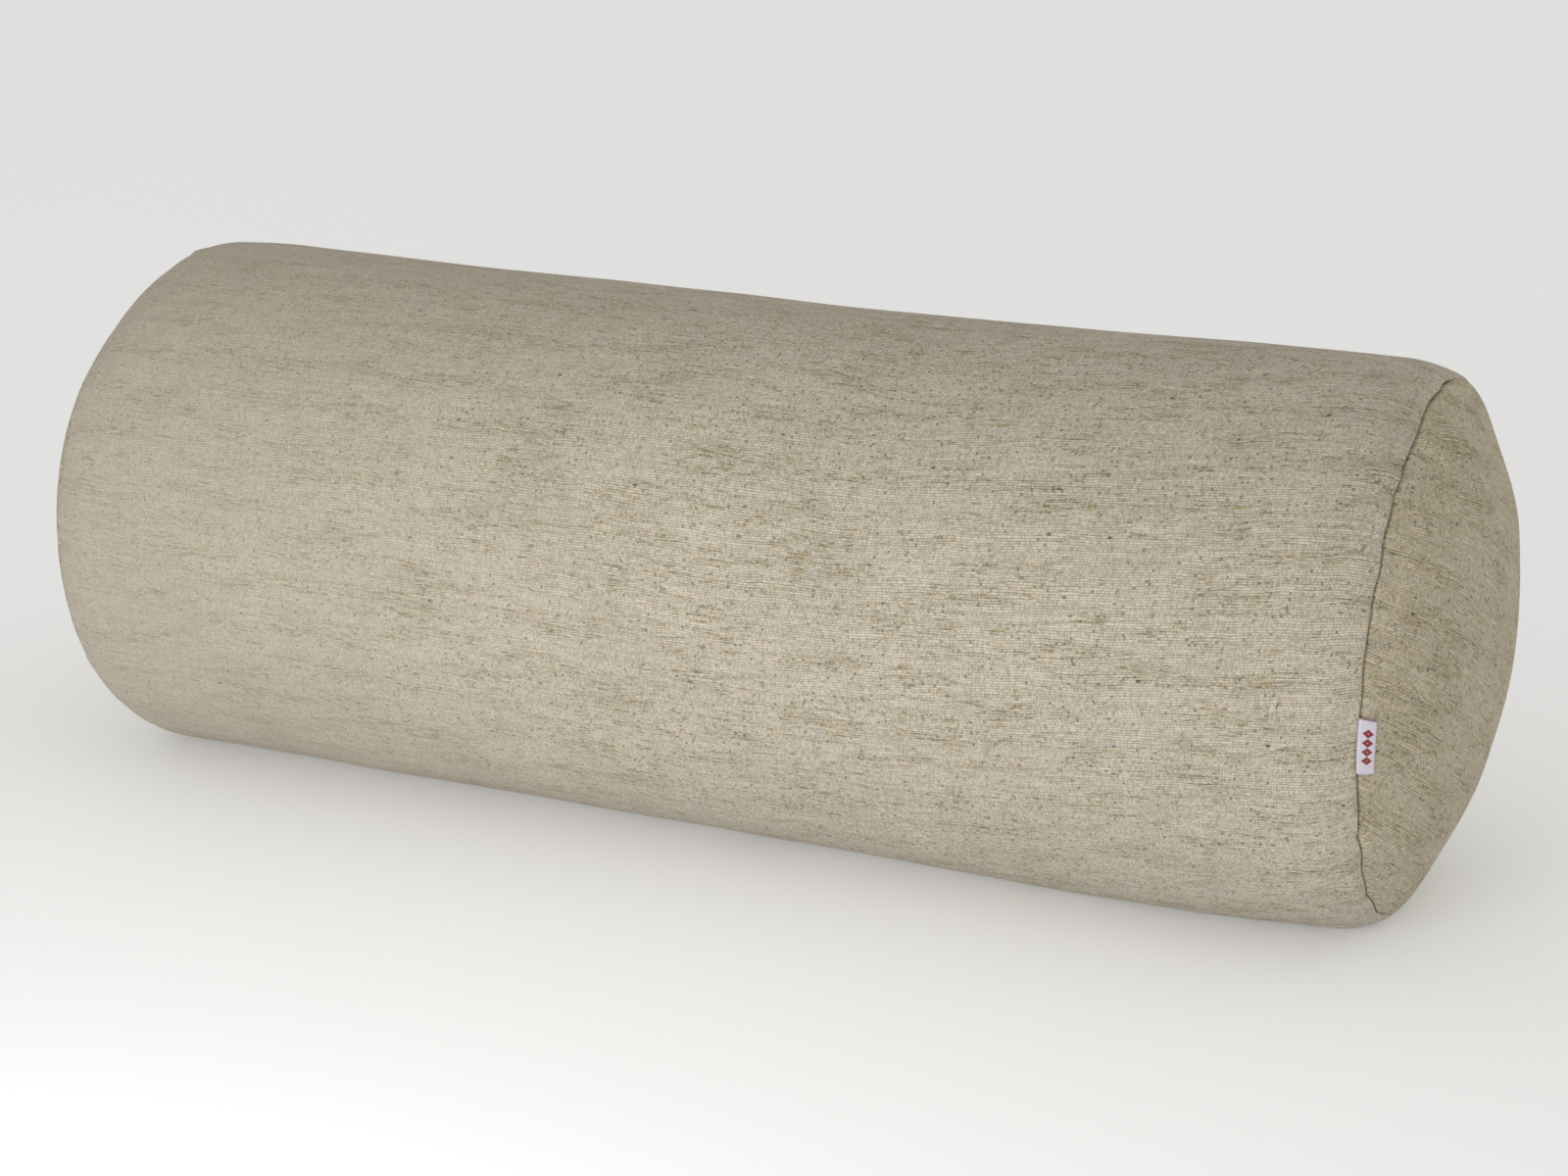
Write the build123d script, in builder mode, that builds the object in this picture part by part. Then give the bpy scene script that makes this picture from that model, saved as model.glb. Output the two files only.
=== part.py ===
"""Bolster pillow: a zipped cover sewn from a tube and two round ends, over a fibre-filled inner pillow.

Millimetres. +X runs along the pillow, +Z is up, and the origin is the middle of the patch that it rests on.
The pillow's shape is one barrel. Every layer of cloth is that barrel moved inwards by the layer's inset.
"""

import os
from functools import cache
from math import cos, radians, sin

from build123d import *

# The stuffed pillow
RADIUS = 75.0
SEAM_X = 188.0  # from the middle to each round seam
SEAM_RADIUS = 69.9
SEAM_TURN = 44.0  # degrees that the surface has turned from the tube's line at the round seam
RIM_TURN = 78.0  # degrees turned where the tight rim of an end meets its flat crown
DOME_HEIGHT = 18.3  # how far an end bulges past its seam
REST_DEPTH = 4.3  # how deep its own weight flattens the underside

# Cloth and thread
CLOTH = 0.6
LAYER_GAP = 0.1
ALLOWANCE = 10.0
THREAD_SETBACK = 1.5
THREAD_RADIUS = 0.25
OVERLOCK_WIDTH = 1.1

# Long seam and zip slot, round the back
ZIP_ANGLE = 20.0  # degrees above the horizontal
SLIT = 0.3
HEM = 12.0
HEM_END_X = 172.0
SLOT_HALF_WIDTH = 4.5
SLOT_CLOSED_X = 158.0
SLOT_OPEN_X = -153.5

# Zip tapes and teeth
ZIP_HALF = 150.0  # half the length of the rows of teeth
TAPE_END_X = 165.0
TAPE_EDGE = 0.75
TAPE_WIDTH = 13.75
TAPE = 0.45
TOOTH_PITCH = 1.5
TOOTH_WIDTH = 0.63
TOOTH_REACH = 0.95
TOOTH_RISE = 1.32
SPINE_NEAR = 1.2
SPINE_FAR = 2.2
STOP_LENGTH = 2.0
STOP_WALL = 0.35
STOP_GRIP = 1.6

# Slider
SLIDER_X = ZIP_HALF - 1.0
SLIDER_LENGTH = 10.0
SLIDER_WALL = 1.1
SLIDER_PLAY = 0.2
TAPE_PLAY = 0.3
NOSE_HALF_WIDTH = 1.6
NOSE_LENGTH = 1.4
SHOULDER_LENGTH = 4.5
PLATE_HALF_WIDTH = 4.0
FLANGE_NEAR = 2.5
FLANGE_FAR = 3.6
FLANGE_LENGTH = 6.6
DIVIDER_LENGTH = 2.2
DIVIDER_HALF_WIDTH = 0.6
BRIDGE_HEIGHT = 2.35
BRIDGE_HALF_LENGTH = 3.8
BRIDGE_HALF_WIDTH = 0.9
BRIDGE_WALL = 0.85
BRIDGE_SLANT = 0.7

# Pull
PIN_RADIUS = 0.55
PIN_PLAY = 0.15
PULL_THICKNESS = 0.9
PULL_LENGTH = 24.0
PULL_HALF_WIDTH = 3.3
PULL_CORNER = 1.2
PULL_TAPER = 11.4
EYE_HALF_WIDTH = 1.25
EYE_LENGTH = 4.6
PULL_HOLE_LENGTH = 4.4
PULL_HOLE_WIDTH = 2.2

# Stitching that shows
STITCH_LENGTH = 2.2
STITCH_PITCH = 3.0
STITCH_WIDTH = 0.45
STITCH_PROUD = 0.15
TOPSTITCH_FROM_FOLD = 3.0
BARTACK_LENGTH = 11.0
BARTACK_WIDTH = 1.8

# Labels
SEAM_LABEL_LENGTH = 15.0
SEAM_LABEL_REACH = 3.75
SEAM_LABEL_THICKNESS = 0.5
SEAM_LABEL_ROOT = 0.4
SEAM_LABEL_Z = -2.6  # from the pillow's axis
CARE_LABEL_WIDTH = 25.0
CARE_LABEL_DROP = 50.0
CARE_LABEL_X = -40.0
CARE_LABEL = 0.3

# Inner pillow
INNER_INSET = 2.5
INNER_CLOTH = 0.3
INNER_GAP = 0.05
INNER_ALLOWANCE = 8.0
ZIP_RELIEF = 1.05  # how far the zip's slider presses the inner pillow flat

# Worked out from those
AXIS_Z = RADIUS - REST_DEPTH
OVER = 4 * RADIUS  # longer than any cut has to be
PILLOW_AXIS = Axis((0, 0, AXIS_Z), (1, 0, 0))
SECTION = Plane(origin=(0, 0, AXIS_Z), x_dir=(1, 0, 0), z_dir=(0, -1, 0))
SHOULDER_RADIUS = (RADIUS - SEAM_RADIUS) / (1 - cos(radians(SEAM_TURN)))
SHOULDER_X = SEAM_X - SHOULDER_RADIUS * sin(radians(SEAM_TURN))
RIM_RUN = sin(radians(RIM_TURN)) - sin(radians(SEAM_TURN))
RIM_DROP = cos(radians(SEAM_TURN)) - cos(radians(RIM_TURN))
CROWN_RUN = 1 - sin(radians(RIM_TURN))
CROWN_DROP = cos(radians(RIM_TURN))
CROWN_RADIUS = (SEAM_RADIUS - DOME_HEIGHT * RIM_DROP / RIM_RUN) / (CROWN_DROP - CROWN_RUN * RIM_DROP / RIM_RUN)
RIM_RADIUS = (DOME_HEIGHT - CROWN_RADIUS * CROWN_RUN) / RIM_RUN

# Insets of the layers, from the outside in
FOLD = CLOTH + LAYER_GAP
FOLD_INNER = FOLD + CLOTH
TAPE_INSET = 2 * FOLD
SECOND_FOLD_INNER = TAPE_INSET + CLOTH
INNER_FOLD = INNER_INSET + INNER_CLOTH + INNER_GAP
INNER_SECOND_FOLD = INNER_FOLD + INNER_CLOTH + INNER_GAP
FILL_INSET = INNER_SECOND_FOLD + INNER_CLOTH + 2 * INNER_GAP
INNER_SEAM_X = SHOULDER_X + (SHOULDER_RADIUS - INNER_INSET) * sin(radians(SEAM_TURN))

# Heights above the tube's outside, at the zip
PLATE_BASE = TOOTH_RISE + SLIDER_PLAY - TAPE_INSET
PLATE_TOP = PLATE_BASE + SLIDER_WALL
LOWER_PLATE = -TAPE_INSET - TAPE - TAPE_PLAY
PIN_HEIGHT = PLATE_TOP + PIN_PLAY + PIN_RADIUS


def zip_plane(height=0.0, across=0.0):
    """A plane over the back of the tube: local X along the zip, Y down across it, and Z outwards."""
    angle = radians(ZIP_ANGLE) - across / RADIUS
    outwards = Vector(0, cos(angle), sin(angle))
    return Plane(origin=Vector(0, 0, AXIS_Z) + outwards * (RADIUS + height), x_dir=(1, 0, 0), z_dir=outwards)


def slider_side_plane(height):
    """A plane through the middle of the slider, with local X along the zip and Y outwards."""
    face = zip_plane(height)
    return Plane(origin=face.origin + Vector(SLIDER_X, 0, 0), x_dir=(1, 0, 0), z_dir=-face.y_dir)


@cache
def barrel(inset, relief=None):
    """The whole pillow moved inwards by inset: flat where it rests, and behind the zip if it has a relief there."""
    with BuildPart() as body:
        with BuildSketch(SECTION):
            with BuildLine():
                wall = Line((0, RADIUS - inset), (SHOULDER_X, RADIUS - inset))
                shoulder = JernArc(wall @ 1, wall % 1, SHOULDER_RADIUS - inset, -SEAM_TURN)
                rim = JernArc(shoulder @ 1, shoulder % 1, RIM_RADIUS - inset, SEAM_TURN - RIM_TURN)
                crown = RadiusArc(rim @ 1, (SEAM_X + DOME_HEIGHT - inset, 0), CROWN_RADIUS - inset)
                Polyline(crown @ 1, (0, 0), wall @ 0)
            make_face()
        revolve(axis=PILLOW_AXIS)
        mirror(about=Plane.YZ)
        split(bisect_by=Plane.XY.offset(inset), keep=Keep.TOP)
        if relief is not None:
            split(bisect_by=zip_plane(-inset - relief), keep=Keep.BOTTOM)
    return body.part


@cache
def layer(outer, inner, start, end, relief=None):
    """The skin between two insets, from x = start to x = end."""
    outside = barrel(outer, relief)
    inside = barrel(inner, relief)
    with BuildPart() as skin:
        add(outside)
        with Locations(((start + end) / 2, 0, AXIS_Z)):
            Box(end - start, OVER, OVER, mode=Mode.INTERSECT)
        add(inside, mode=Mode.SUBTRACT)
    return skin.part


def end_layer(side, outer, inner, edge, length, relief=None):
    """The skin between two insets at one end, from x = edge back towards the middle by length."""
    start, end = sorted((side * edge, side * (edge - length)))
    return layer(outer, inner, start, end, relief)


def strip(outer, inner, start, end, low, high):
    """The skin between two insets at the zip, from x = start to end and from low to high across the zip."""
    skin = layer(outer, inner, start, end)
    with BuildPart() as band:
        add(skin)
        with BuildSketch(zip_plane(-RADIUS / 2)):
            with Locations(((start + end) / 2, (low + high) / 2)):
                Rectangle(end - start, high - low)
        extrude(amount=RADIUS, mode=Mode.INTERSECT)
    return band.part


def hem(side, edge, start, end):
    """A long edge of the tube's cloth, turned in at edge from the middle of the zip."""
    near, far = sorted((side * edge, side * (edge + HEM)))
    fold_near, fold_far = sorted((side * edge, side * (edge + CLOTH)))
    turned_in = strip(FOLD, FOLD_INNER, start, end, near, far)
    fold = strip(CLOTH / 2, FOLD_INNER, start, end, fold_near, fold_far)
    return [turned_in, fold]


def tube_panel():
    """The tube: one cloth rolled up, with its ends and its long edges turned in."""
    pieces = [layer(0, CLOTH, -SEAM_X, SEAM_X)]
    for side in (-1, 1):
        pieces.append(end_layer(side, FOLD, FOLD_INNER, SEAM_X, ALLOWANCE))
        pieces.append(end_layer(side, CLOTH / 2, FOLD_INNER, SEAM_X, CLOTH))
        pieces += hem(side, SLOT_HALF_WIDTH, SLOT_OPEN_X, SLOT_CLOSED_X)
        pieces += hem(side, SLIT / 2, -HEM_END_X, SLOT_OPEN_X)
        pieces += hem(side, SLIT / 2, SLOT_CLOSED_X, HEM_END_X)
    with BuildPart() as panel:
        add(pieces)
        with BuildSketch(zip_plane(-RADIUS / 3)):
            with Locations(((SLOT_OPEN_X + SLOT_CLOSED_X) / 2, 0)):
                Rectangle(SLOT_CLOSED_X - SLOT_OPEN_X, 2 * SLOT_HALF_WIDTH)
            Rectangle(2 * SEAM_X, SLIT)
        extrude(amount=RADIUS, mode=Mode.SUBTRACT)
    return panel


def end_panel(side):
    """A round end, with its edge turned in under the tube's."""
    edge = SEAM_X + LAYER_GAP
    crown = end_layer(side, 0, CLOTH, OVER, OVER - edge)
    fold = end_layer(side, 0, SECOND_FOLD_INNER, edge + CLOTH, CLOTH)
    turned_in = end_layer(side, TAPE_INSET, SECOND_FOLD_INNER, edge + CLOTH, ALLOWANCE)
    with BuildPart() as panel:
        add([crown, fold, turned_in])
    return panel


def overlock(side):
    """The overlocked thread over both raw edges of a round seam."""
    thread = end_layer(side, FOLD, SECOND_FOLD_INNER, SEAM_X - ALLOWANCE - LAYER_GAP, OVERLOCK_WIDTH)
    with BuildPart() as edging:
        add(thread)
    return edging


def seam_thread(side, x, inset, thread_radius):
    """A round seam's thread: a ring through the two turned-in layers that it joins."""
    turned = (SHOULDER_RADIUS - inset) ** 2 - (x - SHOULDER_X) ** 2
    with BuildPart() as thread:
        with BuildSketch(SECTION):
            with Locations((side * x, RADIUS - SHOULDER_RADIUS + turned**0.5)):
                Circle(thread_radius)
        revolve(axis=PILLOW_AXIS)
    return thread


def long_seam_thread():
    """The straight seam's thread, between each end of the zip's slot and the round seam."""
    start = SLOT_CLOSED_X + BARTACK_WIDTH
    seam = zip_plane(-FOLD).origin
    with BuildPart() as thread:
        with BuildSketch(Plane.YZ.offset(start)):
            with Locations((seam.Y, seam.Z)):
                Circle(THREAD_RADIUS)
        extrude(amount=HEM_END_X - start)
        mirror(about=Plane.YZ)
    return thread


def zip_tape(side):
    """One half of the zip's woven tape."""
    low, high = sorted((side * TAPE_EDGE, side * (TAPE_EDGE + TAPE_WIDTH)))
    woven = strip(TAPE_INSET, TAPE_INSET + TAPE, -TAPE_END_X, TAPE_END_X, low, high)
    with BuildPart() as tape:
        add(woven)
    return tape


def zip_teeth(side):
    """One row of teeth on its spine, each tooth between two of the other row's."""
    count = int(2 * ZIP_HALF / TOOTH_PITCH) - 1
    middle = side * TOOTH_PITCH / 4
    with BuildPart() as row:
        with BuildSketch(zip_plane(-TAPE_INSET)):
            with Locations((0, side * (SPINE_NEAR + SPINE_FAR) / 2)):
                Rectangle(2 * ZIP_HALF, SPINE_FAR - SPINE_NEAR)
            with Locations((middle, side * (SPINE_NEAR - TOOTH_REACH) / 2)):
                with GridLocations(TOOTH_PITCH, 1, count, 1):
                    Rectangle(TOOTH_WIDTH, SPINE_NEAR + TOOTH_REACH)
        extrude(amount=TOOTH_RISE)
    return row


def top_stops():
    """A clip folded over each tape's edge, which the closed slider comes to."""
    middle = SLIDER_X + SLIDER_LENGTH / 2 + STOP_LENGTH
    across = Plane(origin=zip_plane().origin, x_dir=zip_plane().y_dir, z_dir=(1, 0, 0)).offset(middle)
    with BuildPart() as stops:
        for side in (-1, 1):
            with BuildSketch(across):
                with Locations((side * (TAPE_EDGE + STOP_GRIP / 2 - STOP_WALL), -TAPE_INSET - TAPE / 2)):
                    Rectangle(STOP_GRIP, TAPE + 2 * STOP_WALL)
                    with Locations((side * STOP_WALL, 0)):
                        Rectangle(STOP_GRIP, TAPE, mode=Mode.SUBTRACT)
            extrude(amount=STOP_LENGTH / 2, both=True)
    return stops


def bottom_stop():
    """The clip across both rows of teeth where the zip's opening ends."""
    with BuildPart() as stop:
        with BuildSketch(zip_plane(STOP_WALL / 10 - TAPE_INSET)):
            with Locations((-ZIP_HALF - STOP_LENGTH / 2 - TOOTH_WIDTH / 2, 0)):
                Rectangle(STOP_LENGTH, 2 * SPINE_FAR)
        extrude(amount=TOOTH_RISE)
        outer_face = stop.faces().sort_by(Axis(zip_plane().origin, zip_plane().z_dir))[-1]
        fillet(outer_face.edges(), STOP_WALL)
    return stop


def slider_plate(front):
    """The outline of the slider's two plates, with its nose at x = front."""
    half_outline = [
        (front, NOSE_HALF_WIDTH),
        (front - NOSE_LENGTH, PLATE_HALF_WIDTH),
        (front - SHOULDER_LENGTH, PLATE_HALF_WIDTH),
        (front - SLIDER_LENGTH, FLANGE_FAR),
    ]
    with BuildSketch(Plane.XY) as plate:
        with BuildLine():
            Polyline(*half_outline)
            mirror(about=Plane.XZ)
            Line(half_outline[0], (front, -NOSE_HALF_WIDTH))
            Line(half_outline[-1], (front - SLIDER_LENGTH, -FLANGE_FAR))
        make_face()
        fillet(plate.vertices(), SLIDER_WALL / 2)
    return plate.sketch


def slider_body():
    """The slider: two plates joined by the divider, flanges that hold the teeth, and a bridge for the pull."""
    front = SLIDER_X + SLIDER_LENGTH / 2
    outline = slider_plate(front)
    leg = BRIDGE_HALF_LENGTH - BRIDGE_WALL - BRIDGE_SLANT / 3
    with BuildPart() as slider:
        for height, thickness in ((PLATE_BASE, SLIDER_WALL), (LOWER_PLATE, -SLIDER_WALL)):
            with BuildSketch(zip_plane(height)):
                add(outline)
            extrude(amount=thickness)
        with BuildSketch(zip_plane(PLATE_BASE)):
            with Locations((front - SLIDER_LENGTH + FLANGE_LENGTH / 2, 0)):
                with GridLocations(1, FLANGE_NEAR + FLANGE_FAR, 1, 2):
                    Rectangle(FLANGE_LENGTH, FLANGE_FAR - FLANGE_NEAR)
        extrude(amount=-TOOTH_RISE - SLIDER_PLAY / 2)
        with BuildSketch(zip_plane(LOWER_PLATE)):
            with Locations((front - DIVIDER_LENGTH, 0)):
                SlotOverall(DIVIDER_LENGTH, 2 * DIVIDER_HALF_WIDTH)
        extrude(amount=PLATE_BASE - LOWER_PLATE)
        with BuildSketch(slider_side_plane(PLATE_TOP)):
            with BuildLine():
                Polyline(
                    (-BRIDGE_HALF_LENGTH, -PIN_PLAY),
                    (BRIDGE_SLANT - BRIDGE_HALF_LENGTH, BRIDGE_HEIGHT),
                    (BRIDGE_HALF_LENGTH - BRIDGE_SLANT, BRIDGE_HEIGHT),
                    (BRIDGE_HALF_LENGTH, -PIN_PLAY),
                    (leg, -PIN_PLAY),
                    (leg - BRIDGE_SLANT, BRIDGE_HEIGHT - BRIDGE_WALL),
                    (BRIDGE_SLANT - leg, BRIDGE_HEIGHT - BRIDGE_WALL),
                    (-leg, -PIN_PLAY),
                    close=True,
                )
            make_face()
        extrude(amount=BRIDGE_HALF_WIDTH, both=True)
    return slider


def pull_tab():
    """The pull, lying back over the closed teeth, with its pin under the slider's bridge."""
    tip = SLIDER_X - PULL_LENGTH
    rail = EYE_HALF_WIDTH + PULL_THICKNESS
    half_outline = [
        (SLIDER_X, rail),
        (tip + PULL_LENGTH - PULL_TAPER / 2, rail),
        (tip + PULL_TAPER / 2, PULL_HALF_WIDTH),
        (tip + PULL_CORNER, PULL_HALF_WIDTH),
        (tip, PULL_HALF_WIDTH - PULL_CORNER),
    ]
    with BuildPart() as pull:
        with BuildSketch(zip_plane(PIN_HEIGHT - PULL_THICKNESS / 2)):
            with BuildLine():
                Polyline(*half_outline)
                mirror(about=Plane.XZ)
                Line((SLIDER_X, rail), (SLIDER_X, -rail))
                Line(half_outline[-1], (tip, PULL_CORNER - PULL_HALF_WIDTH))
            make_face()
            with Locations((SLIDER_X - EYE_LENGTH / 2, 0)):
                Rectangle(EYE_LENGTH, 2 * EYE_HALF_WIDTH, mode=Mode.SUBTRACT)
            with Locations((tip + PULL_HOLE_LENGTH, 0)):
                SlotOverall(PULL_HOLE_LENGTH, PULL_HOLE_WIDTH, mode=Mode.SUBTRACT)
        extrude(amount=PULL_THICKNESS)
        with BuildSketch(slider_side_plane(PIN_HEIGHT)):
            Circle(PIN_RADIUS)
        extrude(amount=rail, both=True)
    return pull


def topstitch(side):
    """One row of stitches along the zip, through the turned-in edge and the tape."""
    count = int((SLOT_CLOSED_X - SLOT_OPEN_X) / STITCH_PITCH)
    with BuildPart() as row:
        with BuildSketch(zip_plane(STITCH_PROUD, side * (SLOT_HALF_WIDTH + TOPSTITCH_FROM_FOLD))):
            with Locations(((SLOT_CLOSED_X + SLOT_OPEN_X) / 2, 0)):
                with GridLocations(STITCH_PITCH, 1, count, 1):
                    Rectangle(STITCH_LENGTH, STITCH_WIDTH)
        extrude(amount=-2 * STITCH_PROUD)
    return row


def bartacks():
    """A dense tack across each end of the slot."""
    half = BARTACK_LENGTH / 2
    starts = (SLOT_OPEN_X - BARTACK_WIDTH, SLOT_CLOSED_X)
    tacked = [strip(-STITCH_PROUD, STITCH_PROUD, x, x + BARTACK_WIDTH, -half, half) for x in starts]
    with BuildPart() as tacks:
        add(tacked)
    return tacks


def seam_label():
    """The small folded label that stands out of the right-hand seam at the front and lies over the end."""
    root = SEAM_X + SEAM_LABEL_ROOT - LAYER_GAP
    flag = end_layer(1, -LAYER_GAP - SEAM_LABEL_THICKNESS, -LAYER_GAP, SEAM_X + SEAM_LABEL_REACH, SEAM_LABEL_REACH)
    sewn_in = end_layer(1, -LAYER_GAP - SEAM_LABEL_THICKNESS, TAPE_INSET, root, SEAM_LABEL_ROOT)
    with BuildPart() as label:
        add([flag, sewn_in])
        with Locations((SEAM_X, -RADIUS, AXIS_Z + SEAM_LABEL_Z)):
            Box(2 * ALLOWANCE, RADIUS, SEAM_LABEL_LENGTH, mode=Mode.INTERSECT)
    return label


def care_label():
    """The blank ribbon sewn in with the lower zip tape, inside the cover."""
    outer = TAPE_INSET + TAPE + LAYER_GAP / 2
    start = SLOT_HALF_WIDTH + TAPE_WIDTH / 2
    end_x = CARE_LABEL_X + CARE_LABEL_WIDTH
    ribbon = strip(outer, outer + CARE_LABEL, CARE_LABEL_X, end_x, start, start + CARE_LABEL_DROP)
    with BuildPart() as label:
        add(ribbon)
    return label


def inner_tube():
    """The inner pillow's tube, with its ends turned in."""
    pieces = [layer(INNER_INSET, INNER_INSET + INNER_CLOTH, -INNER_SEAM_X, INNER_SEAM_X, ZIP_RELIEF)]
    inner = INNER_FOLD + INNER_CLOTH
    for side in (-1, 1):
        pieces.append(end_layer(side, INNER_FOLD, inner, INNER_SEAM_X, INNER_ALLOWANCE, ZIP_RELIEF))
        pieces.append(end_layer(side, INNER_INSET, inner, INNER_SEAM_X, INNER_CLOTH, ZIP_RELIEF))
    with BuildPart() as panel:
        add(pieces)
    return panel


def inner_end(side):
    """A round end of the inner pillow, with its edge turned in."""
    edge = INNER_SEAM_X + INNER_GAP
    inner = INNER_SECOND_FOLD + INNER_CLOTH
    crown = end_layer(side, INNER_INSET, INNER_INSET + INNER_CLOTH, OVER, OVER - edge, ZIP_RELIEF)
    fold = end_layer(side, INNER_INSET, inner, edge + INNER_CLOTH, INNER_CLOTH, ZIP_RELIEF)
    turned_in = end_layer(side, INNER_SECOND_FOLD, inner, edge + INNER_CLOTH, INNER_ALLOWANCE, ZIP_RELIEF)
    with BuildPart() as panel:
        add([crown, fold, turned_in])
    return panel


def inner_closing_thread():
    """The thread that closes the inner pillow's long seam, on the side away from the zip."""
    with BuildPart() as thread:
        with BuildSketch(Plane.YZ.offset(-SHOULDER_X)):
            with Locations((INNER_INSET + INNER_CLOTH - RADIUS, AXIS_Z)):
                Circle(INNER_CLOTH / 2)
        extrude(amount=2 * SHOULDER_X)
    return thread


def filling():
    """The fibre that fills the inner pillow, as one solid."""
    stuffing = barrel(FILL_INSET, ZIP_RELIEF)
    with BuildPart() as fibre:
        add(stuffing)
    return fibre


def write(name, node):
    """Labels one node and writes its STEP file."""
    node.part.label = name
    export_step(node.part, f"parts/{name}.step")


os.makedirs("parts", exist_ok=True)
write("cover_tube_panel", tube_panel())
write("long_seam_thread", long_seam_thread())
write("zip_top_stops", top_stops())
write("zip_bottom_stop", bottom_stop())
write("zip_slider_body", slider_body())
write("zip_pull_tab", pull_tab())
write("zip_end_bartacks", bartacks())
write("seam_label", seam_label())
write("care_label", care_label())
write("inner_tube_panel", inner_tube())
write("inner_closing_thread", inner_closing_thread())
write("fibre_filling", filling())
for half, where in ((1, "lower"), (-1, "upper")):
    write(f"zip_tape_{where}", zip_tape(half))
    write(f"zip_teeth_{where}", zip_teeth(half))
    write(f"zip_topstitch_{where}", topstitch(half))
for end, where in ((1, "right"), (-1, "left")):
    write(f"cover_end_panel_{where}", end_panel(end))
    write(f"end_seam_overlock_{where}", overlock(end))
    write(f"end_seam_thread_{where}", seam_thread(end, SEAM_X - THREAD_SETBACK, TAPE_INSET, THREAD_RADIUS))
    write(f"inner_end_panel_{where}", inner_end(end))
    inner_x = INNER_SEAM_X - THREAD_SETBACK
    write(f"inner_seam_thread_{where}", seam_thread(end, inner_x, INNER_SECOND_FOLD, INNER_CLOTH / 2))
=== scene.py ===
from math import cos, pi, radians, sin

import bpy
import numpy as np
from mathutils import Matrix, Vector


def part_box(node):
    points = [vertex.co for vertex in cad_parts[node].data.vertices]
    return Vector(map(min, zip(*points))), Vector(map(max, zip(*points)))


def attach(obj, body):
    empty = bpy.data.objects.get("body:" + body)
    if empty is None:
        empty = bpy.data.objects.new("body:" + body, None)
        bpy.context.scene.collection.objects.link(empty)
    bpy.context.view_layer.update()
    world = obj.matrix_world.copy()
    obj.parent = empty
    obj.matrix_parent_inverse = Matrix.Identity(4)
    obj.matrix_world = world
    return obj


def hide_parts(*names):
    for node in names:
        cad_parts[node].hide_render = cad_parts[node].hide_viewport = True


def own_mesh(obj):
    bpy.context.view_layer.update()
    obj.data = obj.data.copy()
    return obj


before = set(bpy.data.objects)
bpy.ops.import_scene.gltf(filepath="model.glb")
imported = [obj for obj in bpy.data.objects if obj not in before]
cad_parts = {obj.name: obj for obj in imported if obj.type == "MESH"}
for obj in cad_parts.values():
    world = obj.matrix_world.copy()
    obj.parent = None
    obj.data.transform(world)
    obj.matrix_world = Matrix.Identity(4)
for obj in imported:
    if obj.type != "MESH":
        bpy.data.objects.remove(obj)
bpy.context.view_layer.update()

MM = 0.001

# The pillow's shape, as the CAD has it
TUBE_LOW, TUBE_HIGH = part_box("cover_tube_panel")
RADIUS = (TUBE_HIGH.y - TUBE_LOW.y) / 2
AXIS_Z = TUBE_HIGH.z - RADIUS
SEAM_X = TUBE_HIGH.x
DOME_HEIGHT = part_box("cover_end_panel_right")[1].x - SEAM_X
SEAM_DROP = 5.1 * MM  # how much narrower the round seam is than the tube
SEAM_TURN = radians(44)
RIM_TURN = radians(78)
SEAM_RADIUS = RADIUS - SEAM_DROP
SHOULDER_RADIUS = SEAM_DROP / (1 - cos(SEAM_TURN))
SHOULDER_X = SEAM_X - SHOULDER_RADIUS * sin(SEAM_TURN)
RIM_RUN = sin(RIM_TURN) - sin(SEAM_TURN)
RIM_DROP = cos(SEAM_TURN) - cos(RIM_TURN)
CROWN_RUN = 1 - sin(RIM_TURN)
CROWN_DROP = cos(RIM_TURN)
CROWN_RADIUS = SEAM_RADIUS - DOME_HEIGHT * RIM_DROP / RIM_RUN
CROWN_RADIUS /= CROWN_DROP - CROWN_RUN * RIM_DROP / RIM_RUN
RIM_RADIUS = (DOME_HEIGHT - CROWN_RADIUS * CROWN_RUN) / RIM_RUN

# Lengths along the surface from the middle of the tube towards an end
SHOULDER_S = SHOULDER_X
SEAM_S = SHOULDER_S + SHOULDER_RADIUS * SEAM_TURN
RIM_S = SEAM_S + RIM_RADIUS * (RIM_TURN - SEAM_TURN)
POLE_S = RIM_S + CROWN_RADIUS * (pi / 2 - RIM_TURN)

# Cloth
CLOTH = 0.6 * MM

# Zip
ZIP_ANGLE = radians(20)
ZIP_LOW, ZIP_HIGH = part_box("zip_teeth_upper")
SLOT_HALF_WIDTH = 4.5 * MM
BARTACK_LOW, BARTACK_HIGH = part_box("zip_end_bartacks")
BARTACK_WIDTH = 1.8 * MM
BARTACK_HALF_LENGTH = 5.5 * MM
SLOT_LOW_X = BARTACK_LOW.x + BARTACK_WIDTH
SLOT_HIGH_X = BARTACK_HIGH.x - BARTACK_WIDTH
TAPE_HEIGHT = -1.4 * MM
TAPE_THICKNESS = 0.45 * MM
TAPE_NEAR = 0.75 * MM
TAPE_FAR = 14.5 * MM
TOPSTITCH_ACROSS = 7.5 * MM
TOOTH_PITCH = 1.5 * MM


# ---- the barrel's surface

def spread(x, y, z):
    """Rows and columns broadcast together, with x, y and z along a new last axis."""
    return np.stack(np.broadcast_arrays(x, y, z), axis=-1)


def once_round(count):
    """Angles of count even steps once round."""
    return np.arange(count) * 2 * pi / count


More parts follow.
